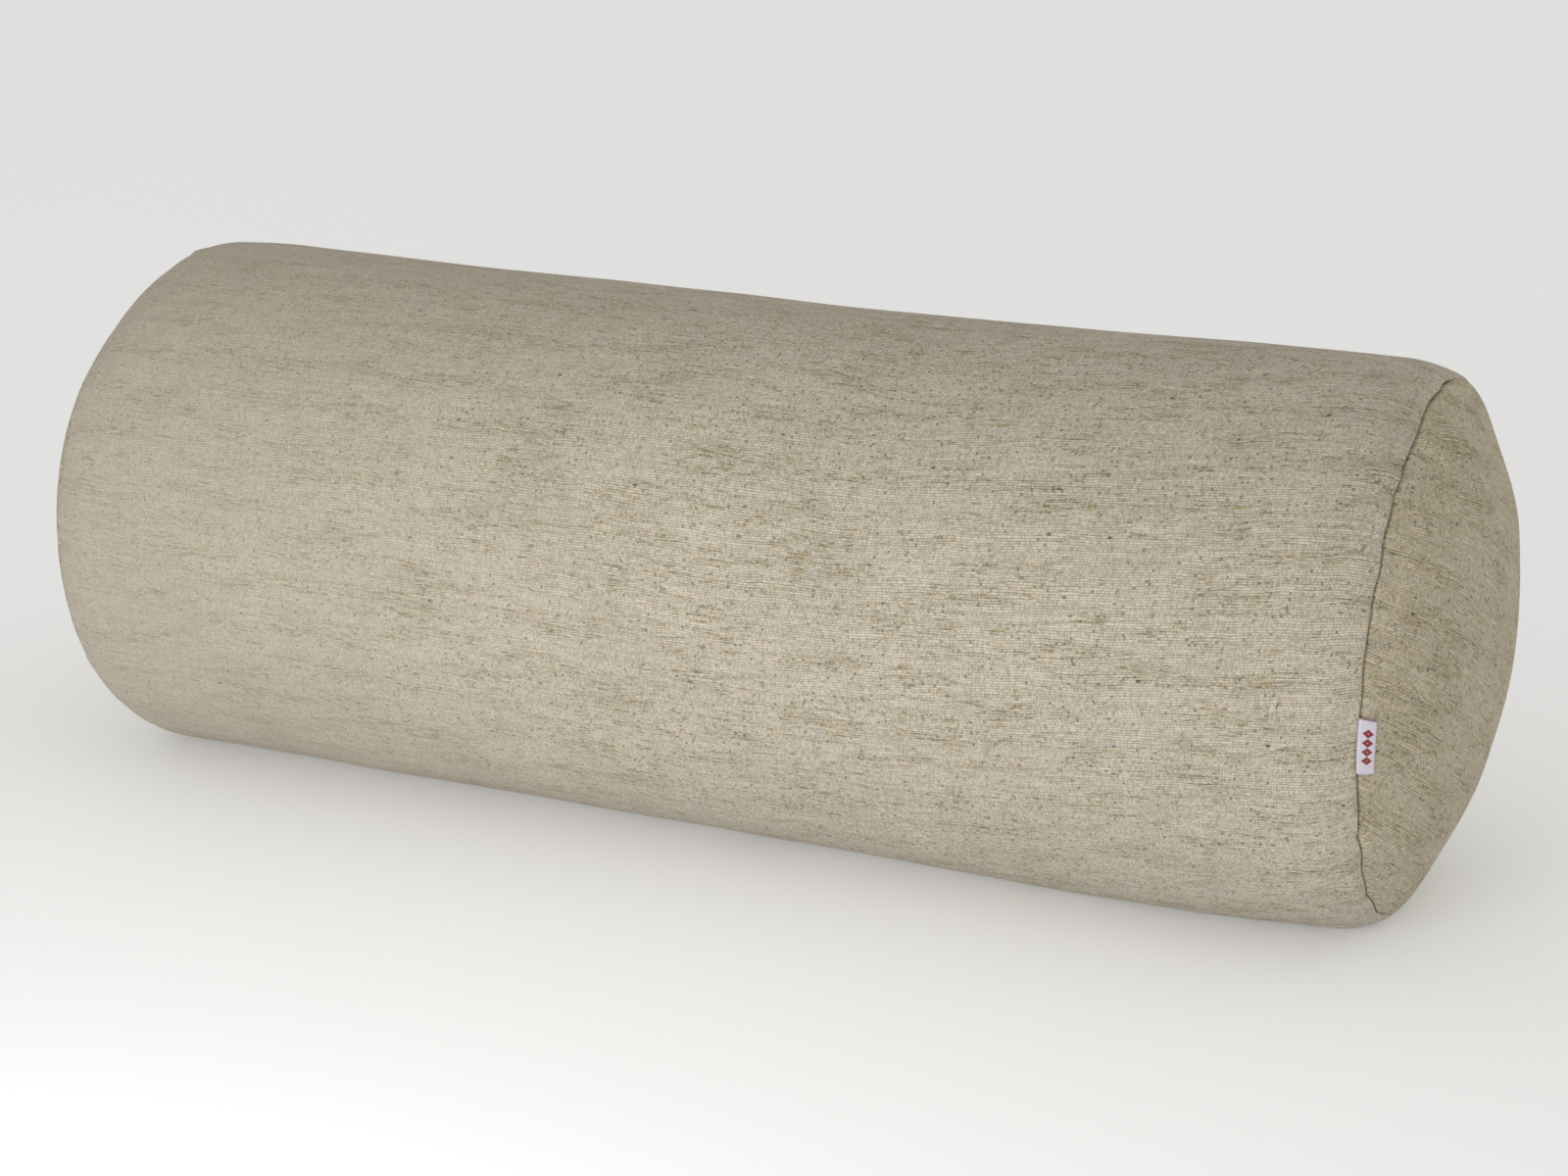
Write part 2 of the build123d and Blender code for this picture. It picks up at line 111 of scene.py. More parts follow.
def profile(s):
    """The outline at surface length s from the middle: x, the radius there, and the normal's tilt."""
    s = np.asarray(s, float)
    side, along = np.sign(s), np.abs(s)
    shoulder = np.clip((along - SHOULDER_S) / SHOULDER_RADIUS, 0, SEAM_TURN)
    rim = np.clip(SEAM_TURN + (along - SEAM_S) / RIM_RADIUS, SEAM_TURN, RIM_TURN)
    crown = np.clip(RIM_TURN + (along - RIM_S) / CROWN_RADIUS, RIM_TURN, pi / 2)
    x = np.minimum(along, SHOULDER_S) + SHOULDER_RADIUS * np.sin(shoulder)
    x = x + RIM_RADIUS * (np.sin(rim) - sin(SEAM_TURN)) + CROWN_RADIUS * (np.sin(crown) - sin(RIM_TURN))
    r = RADIUS - SHOULDER_RADIUS * (1 - np.cos(shoulder))
    r = r - RIM_RADIUS * (cos(SEAM_TURN) - np.cos(rim)) - CROWN_RADIUS * (cos(RIM_TURN) - np.cos(crown))
    turn = np.where(along < SHOULDER_S, 0, shoulder)
    turn = np.where(along > SEAM_S, rim, turn)
    turn = np.where(along > RIM_S, crown, turn)
    return side * x, r, side * turn


def surface(s, angle, height=0.0):
    """Points at surface length s and angle round the axis (0 back, a quarter turn top), raised by height."""
    x, r, turn = profile(s)
    x = x + height * np.sin(turn)
    r = r + height * np.cos(turn)
    return spread(x, r * np.cos(angle), AXIS_Z + r * np.sin(angle))


def settle(points, floor=0.0):
    """Lays what would reach below the floor flat on it, with a soft edge to the patch."""
    softness = 0.5 * MM
    above = points[..., 2] - floor
    settled = points.copy()
    settled[..., 2] = floor + (above + np.sqrt(above**2 + softness**2)) / 2
    return settled


def smooth(value, low, high):
    """0 below low, 1 above high, and a smooth rise between."""
    t = np.clip((value - low) / (high - low), 0, 1)
    return t * t * (3 - 2 * t)


# ---- smooth fields over the surface

def catmull_rom(t):
    """The four weights of a Catmull-Rom spline at t, along a new last axis."""
    return np.stack([
        ((2 - t) * t - 1) * t / 2,
        (t * t * (3 * t - 5) + 2) / 2,
        ((4 - 3 * t) * t + 1) * t / 2,
        (t - 1) * t * t / 2,
    ], axis=-1)


def sample(field, s, angle):
    """A field given on rows from pole to pole and columns once round, read smoothly at s and angle."""
    rows, columns = field.shape
    row = np.clip((s + POLE_S) / (2 * POLE_S), 0, 1) * (rows - 1)
    column = (angle / (2 * pi)) * columns
    row, column = np.broadcast_arrays(row, column)
    first_row, first_column = np.floor(row).astype(int), np.floor(column).astype(int)
    row_weight, column_weight = catmull_rom(row - first_row), catmull_rom(column - first_column)
    total = np.zeros(row.shape)
    for i in range(4):
        at_row = np.clip(first_row + i - 1, 0, rows - 1)
        for j in range(4):
            at_column = (first_column + j - 1) % columns
            total += row_weight[..., i] * column_weight[..., j] * field[at_row, at_column]
    return total


def waves(seed, length, around):
    """A smooth random field with features of about those sizes, along the pillow and round it."""
    rng = np.random.default_rng(seed)
    rows = int(2 * POLE_S / length) + 1
    columns = int(2 * pi * RADIUS / around)
    return rng.normal(size=(rows, columns))


# ---- the stuffed form, by cloth simulation

FORM_ROWS = 95
FORM_COLUMNS = 84
FORM_SHRINK = 1.5 * MM
FORM_CAP = 3.0 * MM
FORM_PRESSURE = 1000.0
FORM_FRAMES = 20


def closed_grid(ring_rows, columns):
    """Faces of a closed bag: a pole, ring_rows rings of columns points, and the other pole, facing out."""
    last = 1 + ring_rows * columns
    faces = []
    for i in range(columns):
        after = (i + 1) % columns
        faces.append((0, 1 + after, 1 + i))
        for j in range(ring_rows - 1):
            row = 1 + j * columns
            faces.append((row + i, row + after, row + columns + after, row + columns + i))
        row = last - columns
        faces.append((last, row + i, row + after))
    return faces


def bag_on(grid):
    """A closed bag on a grid of points, its first and last rows drawn together into poles."""
    ring = grid[1:-1].reshape(-1, 3)
    verts = [tuple(grid[0].mean(axis=0)), *map(tuple, ring), tuple(grid[-1].mean(axis=0))]
    mesh = bpy.data.meshes.new("stuffed_form")
    mesh.from_pydata(verts, [], closed_grid(FORM_ROWS - 2, FORM_COLUMNS))
    form = bpy.data.objects.new("stuffed_form", mesh)
    bpy.context.scene.collection.objects.link(form)
    return form


def pressed(form, seam_rows):
    """The bag's points after pressure has swollen it, on a grid again. Its seams' rows are held."""
    pinned = form.vertex_groups.new(name="seams")
    for row in seam_rows:
        first = 1 + (row - 1) * FORM_COLUMNS
        pinned.add(list(range(first, first + FORM_COLUMNS)), 1.0, "REPLACE")
    cloth = form.modifiers.new("cloth", "CLOTH")
    cloth.settings.vertex_group_mass = "seams"
    cloth.settings.use_pressure = True
    cloth.settings.uniform_pressure_force = FORM_PRESSURE
    cloth.settings.effector_weights.gravity = 0
    cloth.settings.quality = 6
    cloth.settings.mass = 0.05
    cloth.settings.tension_stiffness = 15
    cloth.settings.compression_stiffness = 15
    cloth.settings.bending_stiffness = 0.5
    cloth.collision_settings.use_collision = False
    for step in range(1, FORM_FRAMES + 1):
        bpy.context.scene.frame_set(step)
    swollen = form.evaluated_get(bpy.context.evaluated_depsgraph_get()).to_mesh()
    after = np.zeros(len(swollen.vertices) * 3)
    swollen.vertices.foreach_get("co", after)
    bpy.data.objects.remove(form)
    bpy.context.scene.frame_set(1)
    after = after.reshape(-1, 3)
    grid = np.empty((FORM_ROWS, FORM_COLUMNS, 3))
    grid[0], grid[-1] = after[0], after[-1]
    grid[1:-1] = after[1:-1].reshape(FORM_ROWS - 2, FORM_COLUMNS, 3)
    return grid


def stuffed_form():
    """How far pressure swells a closed bag of this shape off the plain barrel, as a field."""
    s = np.linspace(-POLE_S, POLE_S, FORM_ROWS)[:, None]
    angle = once_round(FORM_COLUMNS)[None, :]
    from_seam = np.abs(np.abs(s) - SEAM_S)
    shrink = FORM_SHRINK * smooth(from_seam, 2 * MM, 22 * MM)
    unevenness = sample(waves(3, 60 * MM, 60 * MM), s, angle) * 0.5 * MM
    start = surface(s, angle, unevenness * smooth(from_seam, 0, 30 * MM) - shrink)
    seam_row = int(np.argmin(from_seam[: FORM_ROWS // 2, 0]))
    grid = pressed(bag_on(start), (seam_row, FORM_ROWS - 1 - seam_row))
    plain = surface(s, angle, 0.0)
    normal = surface(s, angle, 1.0) - plain
    return np.clip(((grid - plain) * normal).sum(axis=-1), -FORM_CAP, FORM_CAP)


SWELL = stuffed_form()

# ---- how the cover lies

UNDULATION = waves(11, 38 * MM, 42 * MM)
RUMPLE = waves(12, 13 * MM, 15 * MM)
PUCKER = waves(13, 9 * MM, 5.5 * MM)
SEAM_WANDER = waves(14, 400 * MM, 7 * MM)

# Creases and ridges beside the right seam: from mm past the seam and degrees round, to the same, then the
# half width and the height in mm
SEAM_FOLDS = [
    (-15, 123.8, 0, 122, 1.1, -1.1),
    (-8, 127, 0, 126.5, 2.8, 1.3),
    (-4, 129.8, 0, 130.4, 0.7, -0.8),
    (-9, 134, -1, 132.5, 1.6, 0.3),
    (-6, 99, 1, 99.6, 1, -0.4),
    (-5, 96, 0, 96.5, 1.8, 0.4),
    (-4, 204, 1, 204.4, 0.8, -0.9),
    (-3, 209, -2, 238, 2.2, 1.2),
    (-9, 217, -1, 214.5, 0.9, -0.4),
    (-7, 243, 0, 241.5, 0.9, -0.5),
    (-10, 160, 0, 158.5, 1.4, -0.3),
    (1, 196, 9, 198.5, 1.3, -0.25),
    (1, 152, 8, 150, 1.5, -0.2),
    (1, 112, 12, 109, 1.6, 0.2),
    (2.5, 72, 3, 85, 2.4, 1.15),
    (3, 94, 28, 98, 2.1, -0.8),
    (3, 99, 32, 103, 2.1, 0.8),
    (3, 104, 34, 108, 2.1, -0.85),
    (3, 109, 32, 113, 2.1, 0.75),
    (4, 114, 28, 118, 2.1, -0.65),
    (13, 197, 22, 176, 1.5, 0.25),
    (17.5, 199.5, 28, 177, 1.5, 0.25),
    (22, 203, 35, 180, 1.5, 0.25),
]

# Where the filling is fuller or slacker than the even form: (surface mm from the middle, degrees round,
# half length mm, half width degrees, height mm)
BULGES = [
    (85, 240, 75, 26, 2.4),
    (10, 200, 110, 26, 0.7),
    (20, 76, 110, 24, -1.5),
    (-190, 112, 16, 26, -2.4),
    (192, 66, 9, 22, 1.7),
    (214, 32, 16, 30, 1.5),
    (206, 272, 14, 22, -1.4),
    (222, 330, 16, 25, 0.8),
]
LEAST_OFFSET = -2.2 * MM
MOST_OFFSET = 3.0 * MM
LEFT_FOLDS_TURN = radians(150)
UNDULATION_HEIGHT = 0.28 * MM
RUMPLE_HEIGHT = 0.07 * MM
PUCKER_HEIGHT = 0.15 * MM
RIPPLE_HEIGHT = 0.09 * MM
RIPPLE_LENGTH = 2.5 * MM
RIPPLE_ANGLE = radians(108)
WANDER = 0.32 * MM


def across_zip(angle):
    """Distance round the tube from the zip's middle line, positive upwards."""
    return ((angle - ZIP_ANGLE + pi) % (2 * pi) - pi) * RADIUS


def fold(s, angle, start_s, start_angle, end_s, end_angle, half_width, height):
    """A ridge, or a crease if height is negative, along a short line on the surface, fading at its ends."""
    start = np.array([SEAM_S + start_s * MM, radians(start_angle) * RADIUS])
    line = np.array([SEAM_S + end_s * MM, radians(end_angle) * RADIUS]) - start
    along_s, along_angle = s - start[0], angle * RADIUS - start[1]
    length = np.hypot(*line)
    t = (along_s * line[0] + along_angle * line[1]) / length
    off = (along_angle * line[0] - along_s * line[1]) / length
    fade = 1.5 * half_width * MM
    end_fade = smooth(t, -fade, fade) * (1 - smooth(t, length - fade, length + fade))
    return height * MM * end_fade * np.exp(-((off / (half_width * MM)) ** 2))


def seam_folds(s, angle):
    """The folds drawn above at the right end, and the same ones turned round for the left end."""
    total = np.zeros(np.broadcast(s, angle).shape)
    for line in SEAM_FOLDS:
        total += fold(s, angle, *line)
        total += fold(-s, (angle + LEFT_FOLDS_TURN) % (2 * pi), *line)
    return total


def bulges(s, angle):
    """The broad unevenness of the filling, drawn above."""
    total = np.zeros(np.broadcast(s, angle).shape)
    for middle_s, middle_angle, half_length, half_width, height in BULGES:
        round_off = (angle - radians(middle_angle) + pi) % (2 * pi) - pi
        reach = ((s - middle_s * MM) / (half_length * MM)) ** 2 + (round_off / radians(half_width)) ** 2
        total += height * MM * np.exp(-reach)
    return total


def lie(s, angle):
    """How far the cover stands off the plain barrel: the simulated swell and the smaller unevenness."""
    angle = angle % (2 * pi)
    past_seam = np.abs(s) - SEAM_S
    tube_side = np.exp(-((past_seam / (9 * MM)) ** 2)) * np.where(past_seam < 0, 1.0, 0.45)
    offset = sample(SWELL, s, angle)
    offset = offset + sample(UNDULATION, s, angle) * UNDULATION_HEIGHT
    offset = offset + sample(RUMPLE, s, angle) * RUMPLE_HEIGHT
    offset = offset + sample(PUCKER, s, angle) * PUCKER_HEIGHT * tube_side
    offset = offset + bulges(s, angle)
    ripple = np.sin(past_seam / RIPPLE_LENGTH * 2 * pi + 1.3 * np.sin(angle * 5))
    ripple = ripple * smooth(past_seam, 3 * MM, 8 * MM) * (1 - smooth(past_seam, 18 * MM, 32 * MM))
    offset = offset + RIPPLE_HEIGHT * ripple * np.exp(-(((angle - RIPPLE_ANGLE) / radians(26)) ** 2))
    offset = offset + seam_folds(s, angle)
    on_tube = np.abs(s) < SEAM_S + 6 * MM
    zip_calm = np.where(on_tube, smooth(np.abs(across_zip(angle)), 12 * MM, 36 * MM), 1.0)
    return np.clip(offset * zip_calm, LEAST_OFFSET, MOST_OFFSET)


def seam_drift(s, angle):
    """How far the seam, which isn't sewn quite true, wanders along the pillow, fading away from it."""
    from_seam = np.abs(s) - SEAM_S
    wander = sample(SEAM_WANDER, np.sign(s) * POLE_S, angle % (2 * pi)) * WANDER
    return np.sign(s) * wander * np.exp(-((from_seam / (6 * MM)) ** 2))


def cover_points(s, angle, height):
    """Points on the cover, or height below it."""
    drifted = np.clip(s + seam_drift(s, angle), -POLE_S, POLE_S)
    return settle(surface(drifted, angle, height + lie(s, angle)), floor=np.maximum(-height, 0))


# ---- mesh helpers

def new_piece(name, verts, faces, weave=None):
    """A mesh object, smooth shaded, with the cloth coordinates that its material reads (in millimetres)."""
    mesh = bpy.data.meshes.new(name)
    mesh.from_pydata(np.asarray(verts).tolist(), [], faces)
    mesh.validate()
    if weave is not None:
        attribute = mesh.attributes.new("weave", "FLOAT_VECTOR", "POINT")
        attribute.data.foreach_set("vector", np.asarray(weave, np.float32).ravel())
    mesh.shade_smooth()
    piece = bpy.data.objects.new(name, mesh)
    bpy.context.scene.collection.objects.link(piece)
    return piece


def grid_faces(rows, columns, wrap=False, dropped=None):
    """Faces on a grid of points, those of the dropped mask left out."""
    index = np.arange(rows * columns).reshape(rows, columns)
    after = np.roll(index, -1, axis=1)
    if not wrap:
        index, after = index[:, :-1], after[:, :-1]
    quads = np.stack([index[:-1], after[:-1], after[1:], index[1:]], axis=-1)
    return quads[~dropped].tolist() if dropped is not None else quads.reshape(-1, 4).tolist()


def grid_piece(name, points, weave, wrap=False, dropped=None):
    """A sheet of cloth on a grid of points, without the dropped faces and the points that only they use."""
    rows, columns = points.shape[:2]
    faces = grid_faces(rows, columns, wrap, dropped)
    used = np.unique(faces)
    renumbered = np.zeros(rows * columns, int)
    renumbered[used] = np.arange(len(used))
    verts = points.reshape(-1, 3)[used]
    return new_piece(name, verts, renumbered[np.array(faces)].tolist(), weave.reshape(-1, 3)[used])


def thicken(piece, thickness):
    """Gives a sheet its thickness, inwards."""
    solid = piece.modifiers.new("thickness", "SOLIDIFY")
    solid.thickness = thickness
    solid.offset = -1
    solid.use_even_offset = False
    return piece


def closed_tube(rings, sides):
    """Faces of a tube of rings, with a cap at each end."""
    last = (rings - 1) * sides
    caps = [list(range(sides)), [last + i for i in reversed(range(sides))]]
    return grid_faces(rings, sides, wrap=True) + caps


def tube(path, radius, sides=6):
    """Vertices and faces of a thread or wire along a path of points, closed at both ends."""
    path = np.asarray(path, float)
    ahead = np.gradient(path, axis=0)
    ahead /= np.linalg.norm(ahead, axis=1, keepdims=True)
    normal = surface(0, ZIP_ANGLE, 1.0) - surface(0, ZIP_ANGLE, 0.0)
    side = np.cross(ahead, normal + 1e-3)
    side /= np.linalg.norm(side, axis=1, keepdims=True)
    up = np.cross(side, ahead)
    turn = once_round(sides)
    around = np.cos(turn)[None, :, None] * side[:, None] + np.sin(turn)[None, :, None] * up[:, None]
    rings = path[:, None] + radius * around
    return rings.reshape(-1, 3), closed_tube(len(path), sides)


def join(parts):
    """One list of vertices and faces from several."""
    verts, faces, start = [], [], 0
    for part_verts, part_faces in parts:
        verts.append(part_verts)
        faces += [[start + i for i in face] for face in part_faces]
        start += len(part_verts)
    return np.concatenate(verts), faces


def finish_piece(piece, material, nodes):
    """Gives a new piece its material and its place in the frame."""
    piece.data.materials.append(material)
    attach(piece, "pillow")
    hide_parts(*nodes)


# ---- materials

def srgb(red, green, blue):
    """A colour given in the usual 0 to 255, as the linear RGBA that sockets take."""
    channels = np.array([red, green, blue]) / 255
    linear = np.where(channels <= 0.04045, channels / 12.92, ((channels + 0.055) / 1.055) ** 2.4)
    return (*[float(c) for c in linear], 1.0)


class Number:
    """A number that a material works out, with the usual arithmetic."""

    def __init__(self, shader, socket):
        self.shader = shader
        self.socket = socket

    def __add__(self, other):
        return self.shader.math("ADD", self, other)

    def __sub__(self, other):
        return self.shader.math("SUBTRACT", self, other)

    def __mul__(self, other):
        return self.shader.math("MULTIPLY", self, other)

    def __truediv__(self, other):
        return self.shader.math("DIVIDE", self, other)

    def __abs__(self):
        return self.shader.math("ABSOLUTE", self)


class Shader:
    """One material, with short calls for the nodes that are used here."""

    def __init__(self, name, **inputs):
        self.material = bpy.data.materials.new(name)
        self.material.use_nodes = True
        self.nodes = self.material.node_tree.nodes
        self.bsdf = self.nodes["Principled BSDF"]
        self.fill(self.bsdf, **inputs)

    def put(self, socket, value):
        """Links the socket if value is worked out, and sets it if value is a constant."""
        value = value.socket if isinstance(value, Number) else value
        if isinstance(value, bpy.types.NodeSocket):
            self.material.node_tree.links.new(value, socket)
        else:
            socket.default_value = value

    def fill(self, node, **inputs):
        """Sets a node's inputs by name, with _ for each space."""
        for label, value in inputs.items():
            self.put(node.inputs[label.replace("_", " ")], value)
        return node

    def node(self, kind, **inputs):
        return self.fill(self.nodes.new("ShaderNode" + kind), **inputs)

    def number(self, node, values):
        """The first output of a node whose inputs take the values in order."""
        for socket, value in zip(node.inputs, values):
            self.put(socket, value)
        return Number(self, node.outputs[0])

    def math(self, operation, *values):
        node = self.node("Math")
        node.operation = operation
        return self.number(node, values)

    def ramp(self, value, low, high, to_low=0.0, to_high=1.0):
        """Smoothly from to_low, where value is low, to to_high, where it is high."""
        node = self.node("MapRange")
        node.interpolation_type = "SMOOTHSTEP"
        return self.number(node, (value, low, high, to_low, to_high))

    def cloth(self):
        """The cloth coordinates in millimetres, as two numbers."""
        node = self.node("Attribute")
        node.attribute_name = "weave"
        return self.split(node.outputs["Vector"])

    def place(self):
        """Where the point is on the part, in millimetres."""
        node = self.node("VectorMath")
        node.operation = "SCALE"
        self.put(node.inputs[0], self.node("TexCoord").outputs["Object"])
        self.put(node.inputs["Scale"], 1 / MM)
        return node.outputs[0]

    def split(self, vector):
        node = self.node("SeparateXYZ", Vector=vector)
        return Number(self, node.outputs[0]), Number(self, node.outputs[1])

    def combine(self, x=0.0, y=0.0, z=0.0):
        return self.node("CombineXYZ", X=x, Y=y, Z=z).outputs[0]

    def noise(self, vector, scale=1.0, detail=2.0, roughness=0.5):
        node = self.node("TexNoise", Vector=vector, Scale=scale, Detail=detail, Roughness=roughness)
        return Number(self, node.outputs["Fac"])

    def grains(self, *place):
        """An unrelated random number for each place."""
        return Number(self, self.node("TexWhiteNoise", Vector=self.combine(*place)).outputs["Value"])

    def dots(self, vector, scale):
        """Distance to the nearest of scattered points."""
        return Number(self, self.node("TexVoronoi", Vector=vector, Scale=scale).outputs["Distance"])

    def ribs(self, position, pitch):
        """A wave from 0 to 1 and back for each pitch."""
        return self.math("SINE", position * (2 * pi / pitch)) * 0.5 + 0.5

    def mix(self, factor, first, second, blend="MIX"):
        node = self.node("Mix")
        node.data_type = "RGBA"
        node.blend_type = blend
        colours = [socket for socket in node.inputs if socket.type == "RGBA"]
        self.put(node.inputs[0], factor)
        self.put(colours[0], first)
        self.put(colours[1], second)
        return [socket for socket in node.outputs if socket.type == "RGBA"][0]

    def shade(self, colour, value, least, most):
        """colour, darkened or lightened by value from least to most times."""
        amount = self.ramp(value, 0.25, 0.75, least, most)
        return self.mix(1.0, colour, self.combine(amount, amount, amount), "MULTIPLY")

    def finish(self, colour, height, depth, strength=0.6):
        bump = self.node("Bump", Strength=strength, Distance=depth, Height=height)
        self.fill(self.bsdf, Base_Color=colour, Normal=bump.outputs[0])
        return self.material


def plain_weave(shader, along, across, pitches, dips=(1.0, 1.0), crowns=(1.0, 1.0)):
    """Heights of a plain weave's two sets of yarns, and each set's yarn number. The first set runs along.
    Each has its own pitch, rises to its crown, and dips by its share of that under the other set."""
    u = along / pitches[1]
    v = across / pitches[0]
    first, second = shader.math("FLOOR", v), shader.math("FLOOR", u)

    def yarn(position, number, crossing, sign, dip, crown):
        round_top = shader.math("SINE", (position - number) * pi)
        over = shader.math("COSINE", (crossing - 0.5 - number) * pi)
        return round_top * (over * (0.5 * sign * dip * crown) + (1 - 0.5 * dip) * crown)

    warp = yarn(v, first, u, 1, dips[0], crowns[0])
    return warp, yarn(u, second, v, -1, dips[1], crowns[1]), first, second


# The linen's yarns run along the tube (warp) and round it (weft): pitch in mm, dip and crown as shares
LINEN_PITCHES = (0.70, 0.36)
LINEN_DIPS = (0.9, 1.0)
LINEN_CROWNS = (1.0, 0.95)
FLECK_CROSSINGS = 2.0
LINEN = srgb(196, 187, 173)
LINEN_YELLOW = srgb(189, 178, 154)
OLIVE = srgb(88, 82, 60)
OCHRE = srgb(150, 136, 78)
PALE = srgb(216, 210, 199)
# Painted shade for the pits between the yarns
PAINTED_PIT_SHADE = srgb(96, 88, 70)
SPECK = srgb(50, 43, 32)
RUBBED = srgb(178, 169, 153)


def slubs(shader, running, sideways, seed, share):
    """How olive and how ochre a set of yarns is: streaks broken into dashes, in loose bunches."""
    bunched = shader.noise(shader.combine(running * 0.035, sideways * 0.16, seed), 1.0, 3.0, 0.6)
    bunch = shader.ramp(bunched, 0.3, 0.7, -0.08, 0.08)
    dashes = shader.noise(shader.combine(running * 1.1, sideways * 1.7, seed + 20), 1.0, 2.0)
    broken = shader.ramp(dashes, 0.40, 0.60, 0.2, 1.0)
    amounts = []
    for step, low, high in ((0.0, 0.55, 0.685), (50.0, 0.53, 0.66)):
        streak = shader.noise(shader.combine(running * 0.16, sideways * 1.7, seed + step), 1.0, 3.0, 0.6)
        amounts.append(shader.ramp(streak + bunch, low - share, high - share, 0.0, 0.76) * broken)
    return amounts


def linen(name, yellowness, share, rubbed):
    """Natural linen: a ribbed plain weave with slubs along the yarns, painted shade in the pits between
    them, and a little lint.
    Its marks are fainter towards the left end, by up to the share rubbed."""
    shader = Shader(name, Roughness=0.92, Sheen_Weight=0.06, Sheen_Roughness=0.5)
    along, across = shader.cloth()
    place = shader.combine(along, across)
    wander = (shader.noise(place, 0.07, 1.0) - 0.5) * 1.6
    along = along + wander
    across = across + wander
    crooked = shader.noise(shader.combine(along * 0.4, across), 0.45, 2.0) - 0.5
    across = across + crooked * 0.5
    warp, weft, warp_number, weft_number = plain_weave(
        shader, along, across, LINEN_PITCHES, LINEN_DIPS, LINEN_CROWNS)
    height = shader.math("MAXIMUM", warp, weft)
    tint = shader.noise(shader.combine(along * 0.16, across * 1.1, 60.0), 1.0, 3.0, 0.6)
    colour = shader.mix(shader.ramp(tint, 0.62 - yellowness, 0.92 - yellowness), LINEN, LINEN_YELLOW)
    streaks = shader.noise(shader.combine(along * 0.05, across * 0.9), 1.0, 4.0, 0.75)
    colour = shader.shade(colour, streaks, 0.84, 1.15)
    colour = shader.shade(colour, shader.grains(warp_number, weft_number), 0.84, 1.13)
    lint = shader.noise(shader.combine(along * 0.7, across, 31.0), 1.5, 3.0, 0.6)
    colour = shader.mix(shader.ramp(lint, 0.56, 0.70, 0.0, 0.6), colour, PALE)
    olive, ochre = slubs(shader, along, across, 3.0, share)
    cross_olive, cross_ochre = slubs(shader, across, along, 9.0, share - 0.09)
    for amount, yarn in ((cross_ochre, OCHRE), (ochre, OCHRE), (cross_olive, OLIVE), (olive, OLIVE)):
        colour = shader.mix(amount, colour, yarn)
    dash = shader.math("FLOOR", (warp_number * 7.0 + weft_number) / FLECK_CROSSINGS)
    for seed, low, high, yarn in ((5.0, 0.975, 0.988, OLIVE), (8.0, 0.97, 0.985, OCHRE)):
        fleck = shader.grains(warp_number, dash, seed)
        colour = shader.mix(shader.ramp(fleck, low - share, high, 0.0, 0.6), colour, yarn)
    # Painted shade: the pits between the yarns are darkened towards a dark olive
    colour = shader.mix(shader.ramp(height, 0.62, 0.15, 0.0, 0.62), colour, PAINTED_PIT_SHADE)
    colour = shader.shade(colour, shader.noise(place, 0.035, 3.0), 0.965, 1.035)
    speck = shader.dots(shader.combine(along * 0.6, across, 77.0), 0.13)
    colour = shader.mix(shader.ramp(speck, 0.07, 0.03, 0.0, 0.8), colour, SPECK)
    colour = shader.mix(shader.ramp(along, 60.0, -200.0, 0.0, rubbed), colour, RUBBED)
    return shader.finish(colour, lint * 0.9 + height, 0.2 * MM, 0.65)


def cotton_casing():
    """The inner pillow's plain white cotton, with uneven yarns and painted shade between them."""
    shader = Shader("cotton_casing", Roughness=0.85)
    along, across = shader.cloth()
    warp, weft, _, number = plain_weave(shader, along, across, (0.4, 0.4))
    height = shader.math("MAXIMUM", warp, weft)
    uneven = shader.noise(shader.combine(across, number * 3.7), 0.6, 2.0)
    # Painted shade: the cloth is darker between the yarns
    colour = shader.mix(shader.ramp(height, 0.6, 0.1), srgb(238, 237, 232), srgb(190, 189, 184))
    return shader.finish(shader.shade(colour, uneven, 0.93, 1.06), height, 0.05 * MM)


def herringbone_tape():
    """The zip's tape: a narrow herringbone whose slant turns every few millimetres, with painted shade
    between its ribs.
    """
    shader = Shader("herringbone_tape", Roughness=0.7, Sheen_Weight=0.1)
    along, across = shader.cloth()
    height = shader.ribs(along + shader.math("PINGPONG", across, 1.6), 0.8)
    # Painted shade: darker in the hollows between the ribs
    colour = shader.mix(shader.ramp(height, 0.7, 0.1), srgb(214, 205, 188), srgb(168, 158, 138))
    fibre = shader.noise(shader.combine(along, across * 3.0), 1.5, 3.0)
    return shader.finish(shader.shade(colour, fibre, 0.92, 1.06), height, 0.08 * MM)


def spun_thread(name, base, ply_shade):
    """Twisted thread: fine slanting plies with painted shade between them, and a few loose fibres."""
    shader = Shader(name, Roughness=0.65, Sheen_Weight=0.15)
    place = shader.place()
    x, y = shader.split(place)
    height = shader.ribs(x + y, 0.32)
    # Painted shade: darker in the grooves between the plies
    colour = shader.mix(shader.ramp(height, 0.8, 0.1, 0.0, 0.6), base, ply_shade)
    fibre = shader.noise(place, 2.5, 3.0)
    return shader.finish(shader.shade(colour, fibre, 0.9, 1.08), height, 0.05 * MM)


def nylon_coil():
    """Translucent-looking nylon filament with faint drawing lines."""
    shader = Shader("nylon_coil", Roughness=0.38, Coat_Weight=0.15)
    place = shader.place()
    x, _ = shader.split(place)
    line = shader.noise(place, 4.0, 2.0)
    band = shader.noise(shader.combine(x), 0.12, 1.0)
    colour = shader.shade(srgb(216, 206, 188), line, 0.93, 1.05)
    return shader.finish(shader.shade(colour, band, 0.97, 1.03), line, 0.02 * MM, 0.4)


